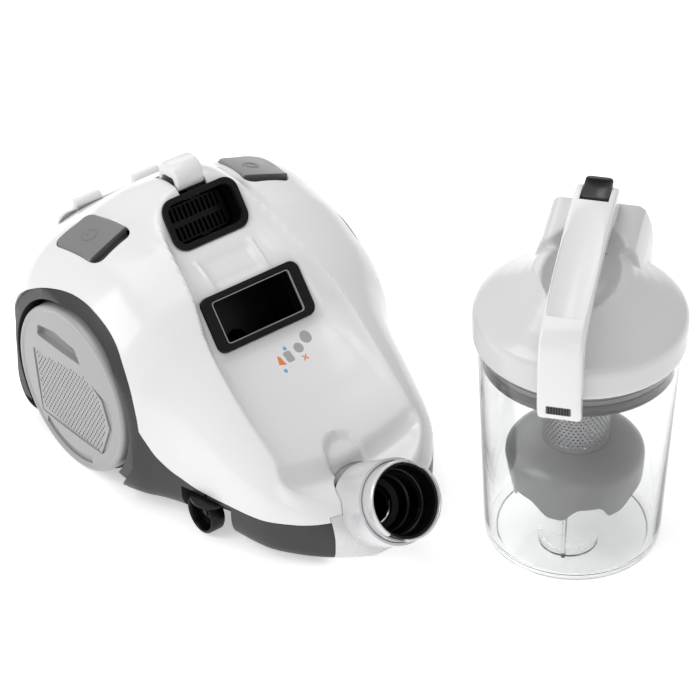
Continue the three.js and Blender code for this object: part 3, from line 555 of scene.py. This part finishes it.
def copy_of(made):
    twin = made.copy()
    twin.data = made.data.copy()
    scratch.objects.link(twin)
    return twin


AXLE_LINE = across_x(0, AXLE_Z)
SCREWS = ((-70, -60), (70, -60), (-60, 52), (60, 52))
CORD_EXIT = MACHINE @ at(62, 0, 42) @ spin("X", 90) @ Matrix.Scale(-1, 4, (0, 0, 1))


def arch(s):
    """The grey lining of a wheel well, which grows into the base below the seam."""
    x0, x1 = sorted((s * (WELL_X + 0.35), s * 130))
    lining = ring(WELL - 0.7, ARCH, x0, x1, AXLE_LINE, 128)
    foot = overlap(ring(WELL + 1.5, ARCH + 1, x0, x1, AXLE_LINE, 128), seam_prism(False, SEAM_GAP / 2))
    lining = overlap(join(lining, foot), block(340, 200, 200, 0, 0, 136, MACHINE))
    return overlap(lining, body_form(0.6, 120, 90))


rim = 1.2
shell = overlap(copy_of(skin), seam_prism(True, SEAM_GAP / 2))
shell = cut(shell, fascia_zone(0.3), rear_zone(0.3),
            prism(round_rect(INTAKE["w"] - 8, INTAKE["h"] - 8, 7), -20, 20, slope(INTAKE)),
            prism(round_rect(INTAKE["w"] + 1, INTAKE["h"] + 1, 8), 1.1, 30, slope(INTAKE)),
            prism(round_rect(MOTOR_IN["w"] - 6, MOTOR_IN["h"] - 6, 10), -20, 20, slope(MOTOR_IN)),
            prism(round_rect(MOTOR_IN["w"] + rim, MOTOR_IN["h"] + rim, 12), 0.4, 30, slope(MOTOR_IN)),
            *both_sides(lambda s: prism(button_outline(0.35), -30, 40, button_frame(s))),
            block(28, 37, 40, 0, 21.5, 230, MACHINE),
            drum(5.6, -120, 120, AXLE_LINE, 32), drum(INLET["r"] + 2.9, -70, 20, inlet_frame()))
show(shell, "white_casing", "root", "white_shell", WHITE, "upper_shell")

base = overlap(copy_of(skin), seam_prism(False, SEAM_GAP / 2))
base = join(base, arch(1), arch(-1))
base = cut(base, fascia_zone(0.3), rear_zone(0.3), drum(INLET["r"] + 0.4, -90, 20, inlet_frame()),
           drum(5.6, -120, 120, AXLE_LINE, 32), drum(8.4, 60, 130, CORD_EXIT, 32),
           *[drum(4, 5, 16, MACHINE @ at(x, y, 0), 32) for x, y in SCREWS],
           *both_sides(lambda s: drum(5.4, 20, 60, MACHINE @ at(s * CASTER["x"], CASTER["y"], 0), 32)))
show(base, "grey_base", "root", "dark_base", DARK, "lower_base")

# %% [markdown]
# The silver fascia shares the casing's surface too, so light runs across the joint unbroken. The hose
# collar is turned on the inlet's own slanting axis, notched twice for the hose's bayonet, and lined
# with a ribbed black socket.

# %% Fascia, collar and socket
fascia = overlap(skin, fascia_zone(0))
forward = block(90, 120, 160, 0, FASCIA["y"] - 60, 92, MACHINE)
neck = overlap(drum(INLET["r"] + 2.6, -56, -15, inlet_frame()), forward)
fascia = cut(join(fascia, neck), drum(INLET["r"] + 0.35, -90, 20, inlet_frame()))
show(fascia, "silver_fascia", "root", "silver_plastic", SILVER, "front_fascia")


def notch(angle):
    return block(15, 12, 18, 0, INLET["r"], 0, inlet_frame() @ spin("Z", angle))


R, BORE = INLET["r"], INLET["bore"]
tube = [(BORE, -50), (R - 0.2, -50), (R - 0.2, -6), (R, -5), (R, -1.2), (R - 0.8, 0), (BORE + 0.4, 0),
        (BORE, -0.6)]
collar = cut(turned(tube, inlet_frame(), 128), notch(-40), notch(140))
show(collar, "hose_collar", "root", "silver_plastic", SILVER, "hose_inlet_collar")
B, S, N = INLET["bore"] - 0.35, INLET["socket"], INLET["inner"]
liner = [(16.2, -54), (B, -54), (B, -3), (S + 1.2, -3), (S + 0.6, -4.5), (S + 0.6, -12), (S, -13), (S, -20),
         (S - 1.4, -21), (S - 1.4, -23), (S - 2.2, -24), (S - 2.2, -33), (N + 2.5, -34), (N + 1.6, -36),
         (N, -37), (N - 0.6, -49), (16.2, -50.4)]
show(turned(liner, inlet_frame(), 128), "hose_liner", "root", "black_plastic", BLACK, "hose_socket")

# %% [markdown]
# A small printed guide sits in the valley: it shows the container being docked. Print has almost no
# thickness, so each mark is a thin skin whose corners are set on the casing by its height formula.

# %% Printed guide
def printed(outline, name, material, slot_name):
    low = [(x, y, float(top_height(np.array(x), np.array(y), 0)) - 0.6) for x, y in outline]
    high = [(x, y, z + 0.75) for x, y, z in low]
    return show(loft("print", [low, high], MACHINE), name, "root", slot_name, material)


def disc_outline(x, y, r, n=20):
    return [(x + r * math.cos(2 * math.pi * k / n), y + r * math.sin(2 * math.pi * k / n)) for k in range(n)]


gx, gy = 6, -112
wedge = [(gx - 12, gy - 3), (gx - 6, gy - 5), (gx - 7, gy + 2), (gx - 9, gy + 4)]
printed(wedge, "guide_machine", ORANGE, "white_shell")
printed(round_rect(7, 9, 1.5, 4, gx, gy), "guide_bin", MARK, "light_grey")
printed(disc_outline(gx + 12, gy + 3, 4.2), "guide_lid", MARK, "light_grey")
printed(disc_outline(gx + 23, gy + 8, 5), "guide_filter", MARK, "light_grey")
for turn in (45, -45):
    c, q = math.cos(math.radians(turn)), math.sin(math.radians(turn))
    flat_bar = ((-3, -0.5), (3, -0.5), (3, 0.5), (-3, 0.5))
    bar = [(gx + 12 + c * u - q * v, gy - 6 + q * u + c * v) for u, v in flat_bar]
    printed(bar, f"guide_cross_{turn}", ORANGE, "white_shell")
for k, (mx, my) in enumerate(((-10, -9), (1, 7))):
    printed(disc_outline(gx + mx, gy + my, 1.6), f"guide_dot_{k}", BLUE, "white_shell")

# %% [markdown]
# The two openings in the valley: a soft black gasket with a pale throat, where dirty air enters the
# container, and above it a black box with a fine grille, where clean air leaves for the motor. A
# gasket is soft, so all its edges are generously rounded.

# %% Gasket, throat, motor intake
def frame_ring(face, w, h, r, in_w, in_h, in_r, z0, z1):
    solid = prism(round_rect(w, h, r), z0, z1, slope(face))
    return cut(solid, prism(round_rect(in_w, in_h, in_r), z0 - 1, z1 + 1, slope(face)))


OUT_W, OUT_H, THROAT_W, THROAT_H = INTAKE["w"], INTAKE["h"], INTAKE["in_w"], INTAKE["in_h"]
gasket = frame_ring(INTAKE, OUT_W, OUT_H, 8, THROAT_W, THROAT_H, 3, 1.5, 6)
gasket = soften(gasket, 1.6, 4, 50)
plug = frame_ring(INTAKE, OUT_W - 9, OUT_H - 9, 6, THROAT_W, THROAT_H, 3, -8, 2.5)
show(join(gasket, plug), "gasket", "root", "rubber_seal", RUBBER, "intake_gasket")
throat = frame_ring(INTAKE, THROAT_W - 0.7, THROAT_H - 0.7, 3, THROAT_W - 2.4, THROAT_H - 2.2, 2.4, 3.4, 5.4)
show(throat, "throat", "root", "light_grey", LIGHT, "intake_lip")

IN_W, IN_H = MOTOR_IN["w"] - 8, MOTOR_IN["h"] - 8
intake = frame_ring(MOTOR_IN, IN_W, IN_H, 9, IN_W - 2.4, IN_H - 2.4, 8, -46, 1.2)
lip = frame_ring(MOTOR_IN, MOTOR_IN["w"], MOTOR_IN["h"], 12, IN_W - 1.6, IN_H - 1.6, 8.4, 0.8, 3.4)
lip = soften(lip, 0.9, 3, 50)
show(join(intake, lip), "motor_intake", "root", "black_plastic", BLACK, "motor_intake_box")
grille = prism(round_rect(IN_W - 6, IN_H - 6, 6), -20, -16, slope(MOTOR_IN))
pitch = (IN_W - 12) / 12
slots = [block(pitch - 1.5, IN_H / 2 - 7, 9, (i - 5.5) * pitch, s * (IN_H / 4 - 1), -18, slope(MOTOR_IN))
         for i in range(12) for s in (-1, 1)]
show(cut(grille, *slots), "intake_grille", "root", "black_plastic", BLACK, "motor_grille")

# %% [markdown]
# Catch and foot buttons are small parts that fingers and toes look for, so their shapes are crisp but
# their edges are round. Each button is a shallow block with a sloping front, and carries a plain raised
# sign: a ring with a stroke for power, a coil for the cord.

# %% Catch and foot buttons
hook = [(8.5, 223), (9.0, 232), (11, 237), (15, 240.4), (21, 241.8), (28, 241), (33, 239), (35.4, 234),
        (35.5, 203), (31.5, 203), (31.5, 227), (28, 229.5), (17, 231), (15, 229), (13.5, 223)]
catch = soften(side_prism(hook, -13, 13), 1.2, 3, 40)
show(catch, "catch", "container_catch", "white_shell", WHITE, "container_catch")


BUTTON_TOP = 5.2


def foot_button(s, name):
    where = button_frame(s)
    cap = soften(prism(button_outline(0), -11, BUTTON_TOP, where), 2.2, 5, 40)
    ramp = block(80, 30, 20, 0, -BUTTON["l"] / 2 - 4, 11.5, where @ spin("X", 24))
    cap = soften(cut(cap, ramp), 1.0, 3, 20)
    stem = block(12, 16, 12, 0, 0, -17, where)
    return show(join(cap, stem), name, name, "button_grey", KEYGREY, name)


foot_button(-1, "power_button")
foot_button(1, "rewind_button")


def raised_line(points, width, where, name, body, material, slot_name):
    """A raised sign: a flat band along a path, standing just proud of the surface."""
    path = [Vector(p) for p in points]
    n = len(path)
    outline_a, outline_b = [], []
    for i, p in enumerate(path):
        ahead = path[i + 1] if i < n - 1 else p
        behind = path[i - 1] if i > 0 else p
        side = Vector((behind.y - ahead.y, ahead.x - behind.x, 0)).normalized()
        outline_a.append(p + side * width / 2)
        outline_b.append(p - side * width / 2)
    rings = [[(*a.xy, a.z), (*b.xy, b.z), (*b.xy, b.z + 0.25), (*a.xy, a.z + 0.25)]
             for a, b in zip(outline_a, outline_b)]
    return show(loft("line", rings, where), name, body, slot_name, material)


def spiral(r0, r1, start, end, z, n):
    """Points along an arc whose radius may grow, centred a little behind the middle of a button."""
    path = []
    for k in range(n + 1):
        a, r = math.radians(start + (end - start) * k / n), r0 + (r1 - r0) * k / n
        path.append((r * math.cos(a), 4 + r * math.sin(a), z))
    return path


SIGN_Z = BUTTON_TOP - 0.05
power, rewind = ("power_button", KEYGREY, "button_grey"), ("rewind_button", KEYGREY, "button_grey")
raised_line(spiral(6.5, 6.5, -240, 60, SIGN_Z, 28), 1.1, button_frame(-1), "power_sign_ring", *power)
raised_line([(0, 12.5, SIGN_Z), (0, 5, SIGN_Z)], 1.1, button_frame(-1), "power_sign_stroke", *power)
raised_line(spiral(3, 7.5, 0, 900, SIGN_Z, 60), 1.0, button_frame(1), "cord_sign", *rewind)

# %% [markdown]
# The driving wheels are big discs with a moulded face: a bright rim, a finger recess at the top, a
# sunken panel with rows of small slots that exhaust air leaves through, and a crescent at the foot. The
# slots are real holes, cut all at once by one mesh that holds every slot as its own small prism.

# %% Wheels
WHEEL = {"r": 75, "disc": 73, "x0": 108, "x1": 134}
CORNERS = ((-1, -1), (1, -1), (1, 1), (-1, 1))
PANEL = [(52, 13), (-19, 27), (-44, 14), (-54, -9), (-41, -43), (43, -46)]


def wheel_frame(s):
    return MACHINE @ at(0, 0, AXLE_Z) @ spin("Y", 90 * s)


def facing(s, outline):
    """Turns an outline of (y, z) on the wheel's face into its own frame."""
    return [(-s * z, y) for y, z in outline]


def within(outline, p, margin):
    """True if the point is inside a convex outline by at least the margin."""
    turn = 0
    for (ax, ay), (bx, by) in zip(outline, outline[1:] + outline[:1]):
        away = ((bx - ax) * (p[1] - ay) - (by - ay) * (p[0] - ax)) / math.hypot(bx - ax, by - ay)
        turn = turn or math.copysign(1, away)
        if away * turn < margin:
            return False
    return True


def many_prisms(outlines, z0, z1, where):
    points, faces = [], []
    for outline in outlines:
        n, first = len(outline), len(points)
        points += [(x, y, z) for z in (z0, z1) for x, y in outline]
        faces += [tuple(first + k for k in reversed(range(n))), tuple(first + n + k for k in range(n))]
        faces += [(first + k, first + (k + 1) % n, first + n + (k + 1) % n, first + n + k) for k in range(n)]
    return mesh_object("prisms", points, faces, where)


def wheel_slots(s, where):
    found = []
    for row in range(24):
        for column in range(30):
            y, z = -56 + 3.9 * column + 1.95 * (row % 2), -46 + 3.3 * row
            if within(PANEL, (y, z), 3.2) and y > -47:
                found.append(facing(s, [(y + a * 0.62, z + b * 1.05) for a, b in CORNERS]))
    return many_prisms(found, WHEEL["x1"] - 6, WHEEL["x1"] + 2, where)


def wheel(s, side):
    where, x1, disc = wheel_frame(s), WHEEL["x1"], WHEEL["disc"]
    body = f"{side}_wheel"
    x0 = WHEEL["x0"]
    face = [(5.6, x0), (59.6, x0), (59.6, x0 + 11.4), (disc, x0 + 11.4), (disc, x1 - 5), (disc - 0.5, x1 - 3.2),
            (disc - 1.6, x1 - 2.1), (disc - 3, x1 - 1.7), (disc - 4.6, x1 - 2), (disc - 5.8, x1 - 2.7),
            (disc - 8, x1 - 2.5), (50, x1 - 1.6), (30, x1 - 0.8), (0, x1 - 0.4), (0, x1 - 6), (5.6, x1 - 6)]
    disc_piece = turned(face, where, 128)
    sweep = [(58.5 * math.cos(math.radians(a)), 58.5 * math.sin(math.radians(a))) for a in range(164, 229, 6)]
    sunk = soften(prism(facing(s, [PANEL[0], PANEL[1], *sweep, (43, -46)]), x1 - 4, x1 + 6, where), 0.8, 3)
    grip = facing(s, [(45, 30), (-17, 35), (-9, 46), (20, 47), (44, 40)])
    finger = soften(prism(grip, x1 - 8, x1 + 6, where), 2.0, 4)
    crescent = ring(65.5, 58.5, x1 - 4.5, x1 + 5, where, 128)
    low_side = facing(s, [(42, -80), (-31, -80), (-25, -48), (36, -48)])
    crescent = overlap(crescent, prism(low_side, x1 - 6, x1 + 6, where))
    cut(disc_piece, sunk, finger, crescent)
    show(disc_piece, f"{side}_disc", body, "light_grey", LIGHT, f"{side}_wheel_disc")
    panel = prism(facing(s, [(y * 0.985, z * 0.985) for y, z in PANEL]), x1 - 3.9, x1 - 2.6, where)
    show(cut(panel, wheel_slots(s, where)), f"{side}_panel", body, "light_grey", LIGHT, f"{side}_wheel_grille")
    across = [(60, 0), (72.5, 0), (74.2, 1), (75, 3), (75, 4.4), (74.2, 4.6), (74.2, 5.4), (75, 5.6), (75, 7.4),
              (74.2, 7.6), (74.2, 8.4), (75, 8.6), (75, 9.6), (74.2, 10.8), (60, 11)]
    tread = [(r, x0 + x) for r, x in across]
    show(turned(tread, where, 128), f"{side}_tread", body, "tyre", TREAD, f"{side}_wheel_tyre")


wheel(-1, "right")
wheel(1, "left")

# %% [markdown]
# Each castor is an open cup that rolls on a stub from its fork. It is small and black, yet it shows
# against the pale floor, so its lip is rounded and its hollow is real.

# %% Castor rollers
def caster(s, side):
    h, r = CASTER["width"] / 2, CASTER["r"]
    where = MACHINE @ at(s * CASTER["x"], CASTER["y"] + CASTER["trail"], r + 9) @ spin("Y", 90 * s)
    cup = [(3.4, -h), (r - 2.5, -h), (r - 1, 0.6 - h), (r, 2 - h), (r, h - 2.4), (r - 0.5, h - 1.3),
           (r - 1.4, h - 1), (r - 2.4, h - 1.4), (r - 3, h - 2.4), (r - 3.4, 5 - h), (7, 5 - h), (6, 7 - h),
           (3.4, 7 - h)]
    roller = turned(cup, where, 64)
    show(roller, f"{side}_roller", f"{side}_caster_roller", "black_plastic", BLACK, f"{side}_caster_wheel")


caster(-1, "right")
caster(1, "left")

# %% [markdown]
# The rear cover hinges down from the back to reach the exhaust filter. Two lugs on its upper edge clip
# over the casing, and below them are rows of louvres for the outgoing air.

# %% Rear cover
COVER_FACE = MACHINE @ at(0, 116.7, 113) @ spin("X", 90)
cover = soften(prism(round_rect(122, 100, 10), 0, 3.2, COVER_FACE), 0.8, 3, 50)
openings = [round_rect(44, 3, 1.4, 4, x, 42 - 7 * k) for k in range(3, 11) for x in (-25, 25)]
louvres = many_prisms(openings, -5, 8, COVER_FACE)
cover = cut(cover, louvres)
lug_side = [(112, 158), (112, 166.5), (114.5, 169.6), (118, 170), (120.6, 168), (121, 158)]
lugs = [soften(side_prism(lug_side, x - 13, x + 13), 1.5, 4) for x in (-30, 30)]
pin = overlap(drum(2.4, -52, 52, across_x(113.5, 64.5), 24), block(104, 20, 20, 0, 113.5, 64.5, MACHINE))
cover = cut(join(cover, *lugs, pin), block(30, 20, 8, 0, 116, 66, MACHINE))
show(cover, "rear_door", "rear_cover", "white_shell", WHITE, "rear_cover")

# %% [markdown]
# The container starts with the clear bin: a slightly tapering cylinder with a rounded heel, a real wall
# and a moulded foot ring inside. Clear plastic only looks right when it is a closed wall, so that light
# bends in and out of it. The wall is turned with many sides, because facets show at once in glass.

# %% Clear bin
BIN = {"r0": 71, "r1": 80, "h": 189, "wall": 2.6}
LID = {"r": 84.5, "z0": 191, "skirt": 23, "top": 258}
r0, r1, wall, height = BIN["r0"], BIN["r1"], BIN["wall"], BIN["h"]
quarter = [(math.sin(math.radians(a)), math.cos(math.radians(a))) for a in range(0, 91, 15)]
heel = [(r0 - 4 + 4 * u, 5 - 5 * v) for u, v in quarter]
inner_heel = [(r0 - 8.4 + 5.6 * u, 9 - 5 * v) for u, v in reversed(quarter)]
bin_wall = [(0, 2), (r0 - 10, 2), (r0 - 8.6, 0.4), (r0 - 7.6, 0), *heel, (r1, height - 1), (r1 - 0.6, height),
            (r1 - wall, height), *inner_heel, (0, 4)]
clear_bin = turned(bin_wall, CONTAINER, 160)
foot_axis = CONTAINER @ at(0, -20, 0)
foot = cut(drum(24, 3, 11, foot_axis), drum(21.6, 4.5, 15, foot_axis), block(60, 40, 30, 0, 0, 16, CONTAINER))
post = soften(block(3.2, 8, 37, 0, -42, 21.5, CONTAINER), 0.8)
show(join(clear_bin, foot, post), "clear_bin", "dust_bin", "clear_plastic", CLEAR, "dust_bin")

# %% [markdown]
# The lid is the most sculpted moulding: a domed cap, a docking block with two outlets, and a bowl for
# the fingers, all flowing into each other. The three solids are joined, rebuilt as an even skin of small
# squares, and relaxed, so that every meeting becomes a soft fillet. Crisp openings are cut afterwards.

# %% Lid
def even_skin(made, size, rounds):
    skin_change = made.modifiers.new("skin", "REMESH")
    skin_change.mode, skin_change.voxel_size = "VOXEL", size / 1000
    relax = made.modifiers.new("relax", "SMOOTH")
    relax.factor, relax.iterations = 0.5, rounds
    return settle(made)


r, z0, skirt, top = LID["r"] - 0.5, LID["z0"], LID["skirt"], LID["top"]
z1 = z0 + skirt
dome = [(r - 8, z0 - 1), (r - 1, z0 - 1), (r, z0), (r + 0.4, z1 - 3), (r - 0.4, z1 + 1), (r - 2.4, z1 + 4.5),
        (r - 8, z1 + 9), (r - 20, z1 + 17), (r - 32, z1 + 26), (r - 42, z1 + 35), (38, top - 4), (20, top - 1)]
lid = turned([(0, z0 - 1), *dome, (0, top)], CONTAINER, 128)
half_wing = [(43, z0 + 12), (43, 228), (42, 241), (39.5, 251), (36.5, 259), (32, 262.5)]
wings = half_wing + [(-x, z) for x, z in reversed(half_wing)]
docking = prism(wings, -64, 0, CONTAINER @ at(0, 24, 0) @ spin("X", 90))
bowl = [(math.sin(math.radians(a)), -math.cos(math.radians(a))) for a in range(0, 181, 6)]
bowl_tool = turned([(0 if k in (0, 30) else x, z) for k, (x, z) in enumerate(bowl)],
                   CONTAINER @ at(0, -10, 273.5) @ Matrix.Diagonal((37, 66, 33, 1)), 96)
rear_cut = block(120, 60, 140, 0, 0, 0, CONTAINER @ at(0, 116, 246) @ Matrix.Rotation(0.2, 4, "X"))
lid = cut(join(lid, docking), bowl_tool, rear_cut)
lid = even_skin(lid, 1.4 if fine else 2.0, 7)
under = [(0, z0 - 5), (r - 11.5, z0 - 5), (r - 11.5, z0 + 20), (r - 22, 222), (r - 34, 231), (12, 230), (0, 229.5)]


def outlet(w, h, z):
    return prism(round_rect(w, h, 6), -30, 60, CONTAINER @ at(0, 88, z) @ spin("X", 90))


lid = cut(lid, turned(under, CONTAINER, 96), outlet(56, 24, 238), outlet(62, 14, 213))
# The lid takes the darker copy of the white: painted shade, not a different plastic.
show(lid, "lid", "bin_lid", "white_shell", SHADED_LID_WHITE, "bin_lid")

# %% [markdown]
# The carrying handle is one strap: up from the front, over the bowl, to the rear. Its side view is drawn
# as a polygon and its corners are cut twice to round them. A long shallow trough runs along the top and
# stops at a thumb step, as on the real one.

# %% Handle, thumb button and window
def rounded(outline, rounds=2):
    for _ in range(rounds):
        outline = [(a[0] * (1 - t) + b[0] * t, a[1] * (1 - t) + b[1] * t)
                   for a, b in zip(outline, outline[1:] + outline[:1]) for t in (0.25, 0.75)]
    return outline


strap = [(-96, 178.5), (-102.5, 187), (-106.6, 215), (-107.5, 243), (-104.5, 258), (-93, 267), (-60, 275),
         (-20, 282), (20, 286), (60, 287.8), (74, 283), (79.5, 270), (79.5, 257), (46, 257), (44, 268),
         (20, 270), (-20, 267), (-60, 260), (-80, 253), (-87, 243), (-88.5, 215), (-88.5, 178.5)]
handle = loft("strap", [[(x, y, z) for y, z in rounded(strap)] for x in (-17, 17)], CONTAINER)
handle = soften(handle, 3.0, 5, 60)
trough = drum(34, -118, 66, CONTAINER @ at(0, -26, 310.4) @ spin("X", 90 + 10), 128)
button_seat, window_seat = block(23, 37, 40, 0, 63.5, 290, CONTAINER), block(19, 6, 8, 0, -104, 193, CONTAINER)
handle = cut(handle, trough, button_seat, window_seat)
handle = cut(handle, copy_of(lid))
show(handle, "strap_handle", "bin_lid", "white_shell", WHITE, "container_handle")
window = block(18.2, 2.2, 7.2, 0, -102.4, 193, CONTAINER)
grid = [round_rect(1.5, 1.5, 0.5, 3, -7.4 + 2.1 * i, -2 + 2 * j) for i in range(8) for j in range(3)]
holes = many_prisms(grid, -4, 4, CONTAINER @ at(0, -102.6, 193) @ spin("X", 90))
show(cut(window, holes), "window_grid", "bin_lid", "black_plastic", SEAL, "handle_window")
pad = soften(prism(round_rect(22, 30, 4), 275, 288, CONTAINER @ at(0, 63, 0)), 1.2, 4)
pad = cut(pad, drum(15, -12, 13, CONTAINER @ at(0, 62, 298.6) @ spin("X", 90), 96))
show(pad, "release_pad", "bin_release_button", "release_grey", RELEASE, "bin_release_button")

# %% [markdown]
# Under the lid hang a grey clamp ring, a rubber seal with two lips, and the cyclone. Air spins round a
# perforated metal tube and drops its dust past a skirt with teeth. The skirt is turned, but its lower
# edge rises and falls with the angle. The tube's holes are real, in staggered rows.

# %% Clamp ring, seal and cyclone
K = BIN["r1"] - 4.6
clamp = [(K - 5, 178.6), (K - 0.6, 178.6), (K, 179.4), (K, 183), (K - 1, 183.6), (K - 1, 185), (K, 185.6),
         (K, 188.8), (K - 0.8, 189.6), (K - 5, 189.6)]
show(turned(clamp, CONTAINER, 128), "clamp_band", "bin_lid", "cyclone_grey", CLAMP, "lid_clamp_ring")
lips = [(K - 4.6, 167.2), (K - 2, 167.2), (K - 0.4, 168.4), (K + 0.3, 170), (K - 1.2, 171.4), (K - 1.2, 173.2),
        (K + 0.3, 174.6), (K - 0.4, 177), (K - 2, 178.2), (K - 4.6, 178.2)]
show(turned(lips, CONTAINER, 128), "seal_lips", "bin_lid", "seal_grey", SEAL, "lid_seal")


LOBES = (-2.25, -1.2, -0.15, 0.9, 1.95, 3.0)


def skirt_piece():
    n = 240
    outer = [(27, 94), (33, 93.4), (41, 91.6), (48, 89), (53, 85.6), (55.5, 82), (56, 78), (55.8, 70), (55, 60)]
    inner = [(53.2, 60), (54, 70), (54.2, 77), (53.6, 80), (51.4, 83.4), (46.8, 86.6), (40.4, 89.2), (33, 91),
             (27, 91.6)]
    rows = []
    for r_, z_ in outer + inner:
        row = []
        for k in range(n):
            a = 2 * math.pi * k / n
            near = min(abs((a - lobe + 1.5 * math.pi) % (2 * math.pi) - math.pi) for lobe in LOBES)
            low = step(-78, -60, -z_) * (1 - step(0.1, 0.4, near))
            row.append(((r_ - 6 * low) * math.cos(a), (r_ - 6 * low) * math.sin(a), z_ - 16 * low))
        rows.append(row)
    points = [p for row in rows for p in row]
    faces = []
    for i in range(len(rows)):
        here, there = i * n, (i + 1) % len(rows) * n
        faces += [(here + k, here + (k + 1) % n, there + (k + 1) % n, there + k) for k in range(n)]
    return mesh_object("skirt", points, faces, CONTAINER)


show(skirt_piece(), "cyclone_cone", "bin_lid", "cyclone_grey", CYCLONE, "cyclone_skirt")
show(ring(53, 27, 65, 66.6, CONTAINER, 96), "cyclone_floor", "bin_lid", "cyclone_grey", CYCLONE)


def mesh_tube():
    tube = ring(26.6, 25.4, 68.6, 160, CONTAINER, 128)
    columns, rows = 44, 19
    points, faces = [], []
    for j in range(rows):
        for i in range(columns):
            a = 2 * math.pi * (i + 0.5 * (j % 2)) / columns
            z = 99 + 3.0 * j
            across, out = Vector((-math.sin(a), math.cos(a), 0)), Vector((math.cos(a), math.sin(a), 0))
            first = len(points)
            for depth in (23, 29):
                for k in range(6):
                    u, v = 0.95 * math.cos(k * math.pi / 3), 0.95 * math.sin(k * math.pi / 3)
                    points.append(tuple(out * depth + across * u + Vector((0, 0, z + v))))
            faces += [tuple(first + k for k in reversed(range(6))), tuple(first + 6 + k for k in range(6))]
            faces += [(first + k, first + (k + 1) % 6, first + 6 + (k + 1) % 6, first + 6 + k) for k in range(6)]
    return cut(tube, mesh_object("holes", points, faces, CONTAINER))


show(mesh_tube(), "mesh_tube", "bin_lid", "filter_mesh", MESH, "mesh_filter")
carrier = [(22.4, 168), (30, 156), (30.6, 157), (31, 168), (60, 170), (68.6, 170), (70, 171), (70, 173),
           (22.4, 173)]
show(turned(carrier, CONTAINER, 96), "carrier_plate", "bin_lid", "light_grey", LIGHT, "cyclone_plate")
show(ring(15, 13.4, 90, 195, CONTAINER, 64), "inner_tube", "bin_lid", "light_grey", LIGHT, "vortex_tube")

# %% [markdown]
# The hidden machinery keeps its engineering shape, which is already right, and only gets its finishes:
# steel for the motor and shafts, foam for the filters, and so on.

# %% Finishes for the inner parts
INNER = {"dirty_air_duct": BLACK, "motor_filter": FOAM, "exhaust_filter": FOAM, "motor": STEEL,
         "fan_housing": STEEL, "impeller": LIGHT, "motor_mount": BLACK, "cord_reel": LIGHT,
         "reel_spring_case": BLACK, "reel_bracket": STEEL, "rewind_brake": LIGHT, "cord_outlet": BLACK,
         "power_switch": BLACK, "control_board": BOARD}
for name, node in nodes.items():
    shown = INNER.get(name)
    if shown is None and ("spring" in name or "axle" in name or "screw" in name):
        shown = STEEL
    if shown is None and "fork" in name:
        shown = BLACK
    if shown is not None:
        node.data.materials.clear()
        node.data.materials.append(shown)
print("inner parts finished:", len(INNER))

# %% [markdown]
# The work ends by removing the scratch pieces that the modelling tools left behind.

# %% Close
for left in list(scratch.objects):
    bpy.data.objects.remove(left)
bpy.data.collections.remove(scratch)
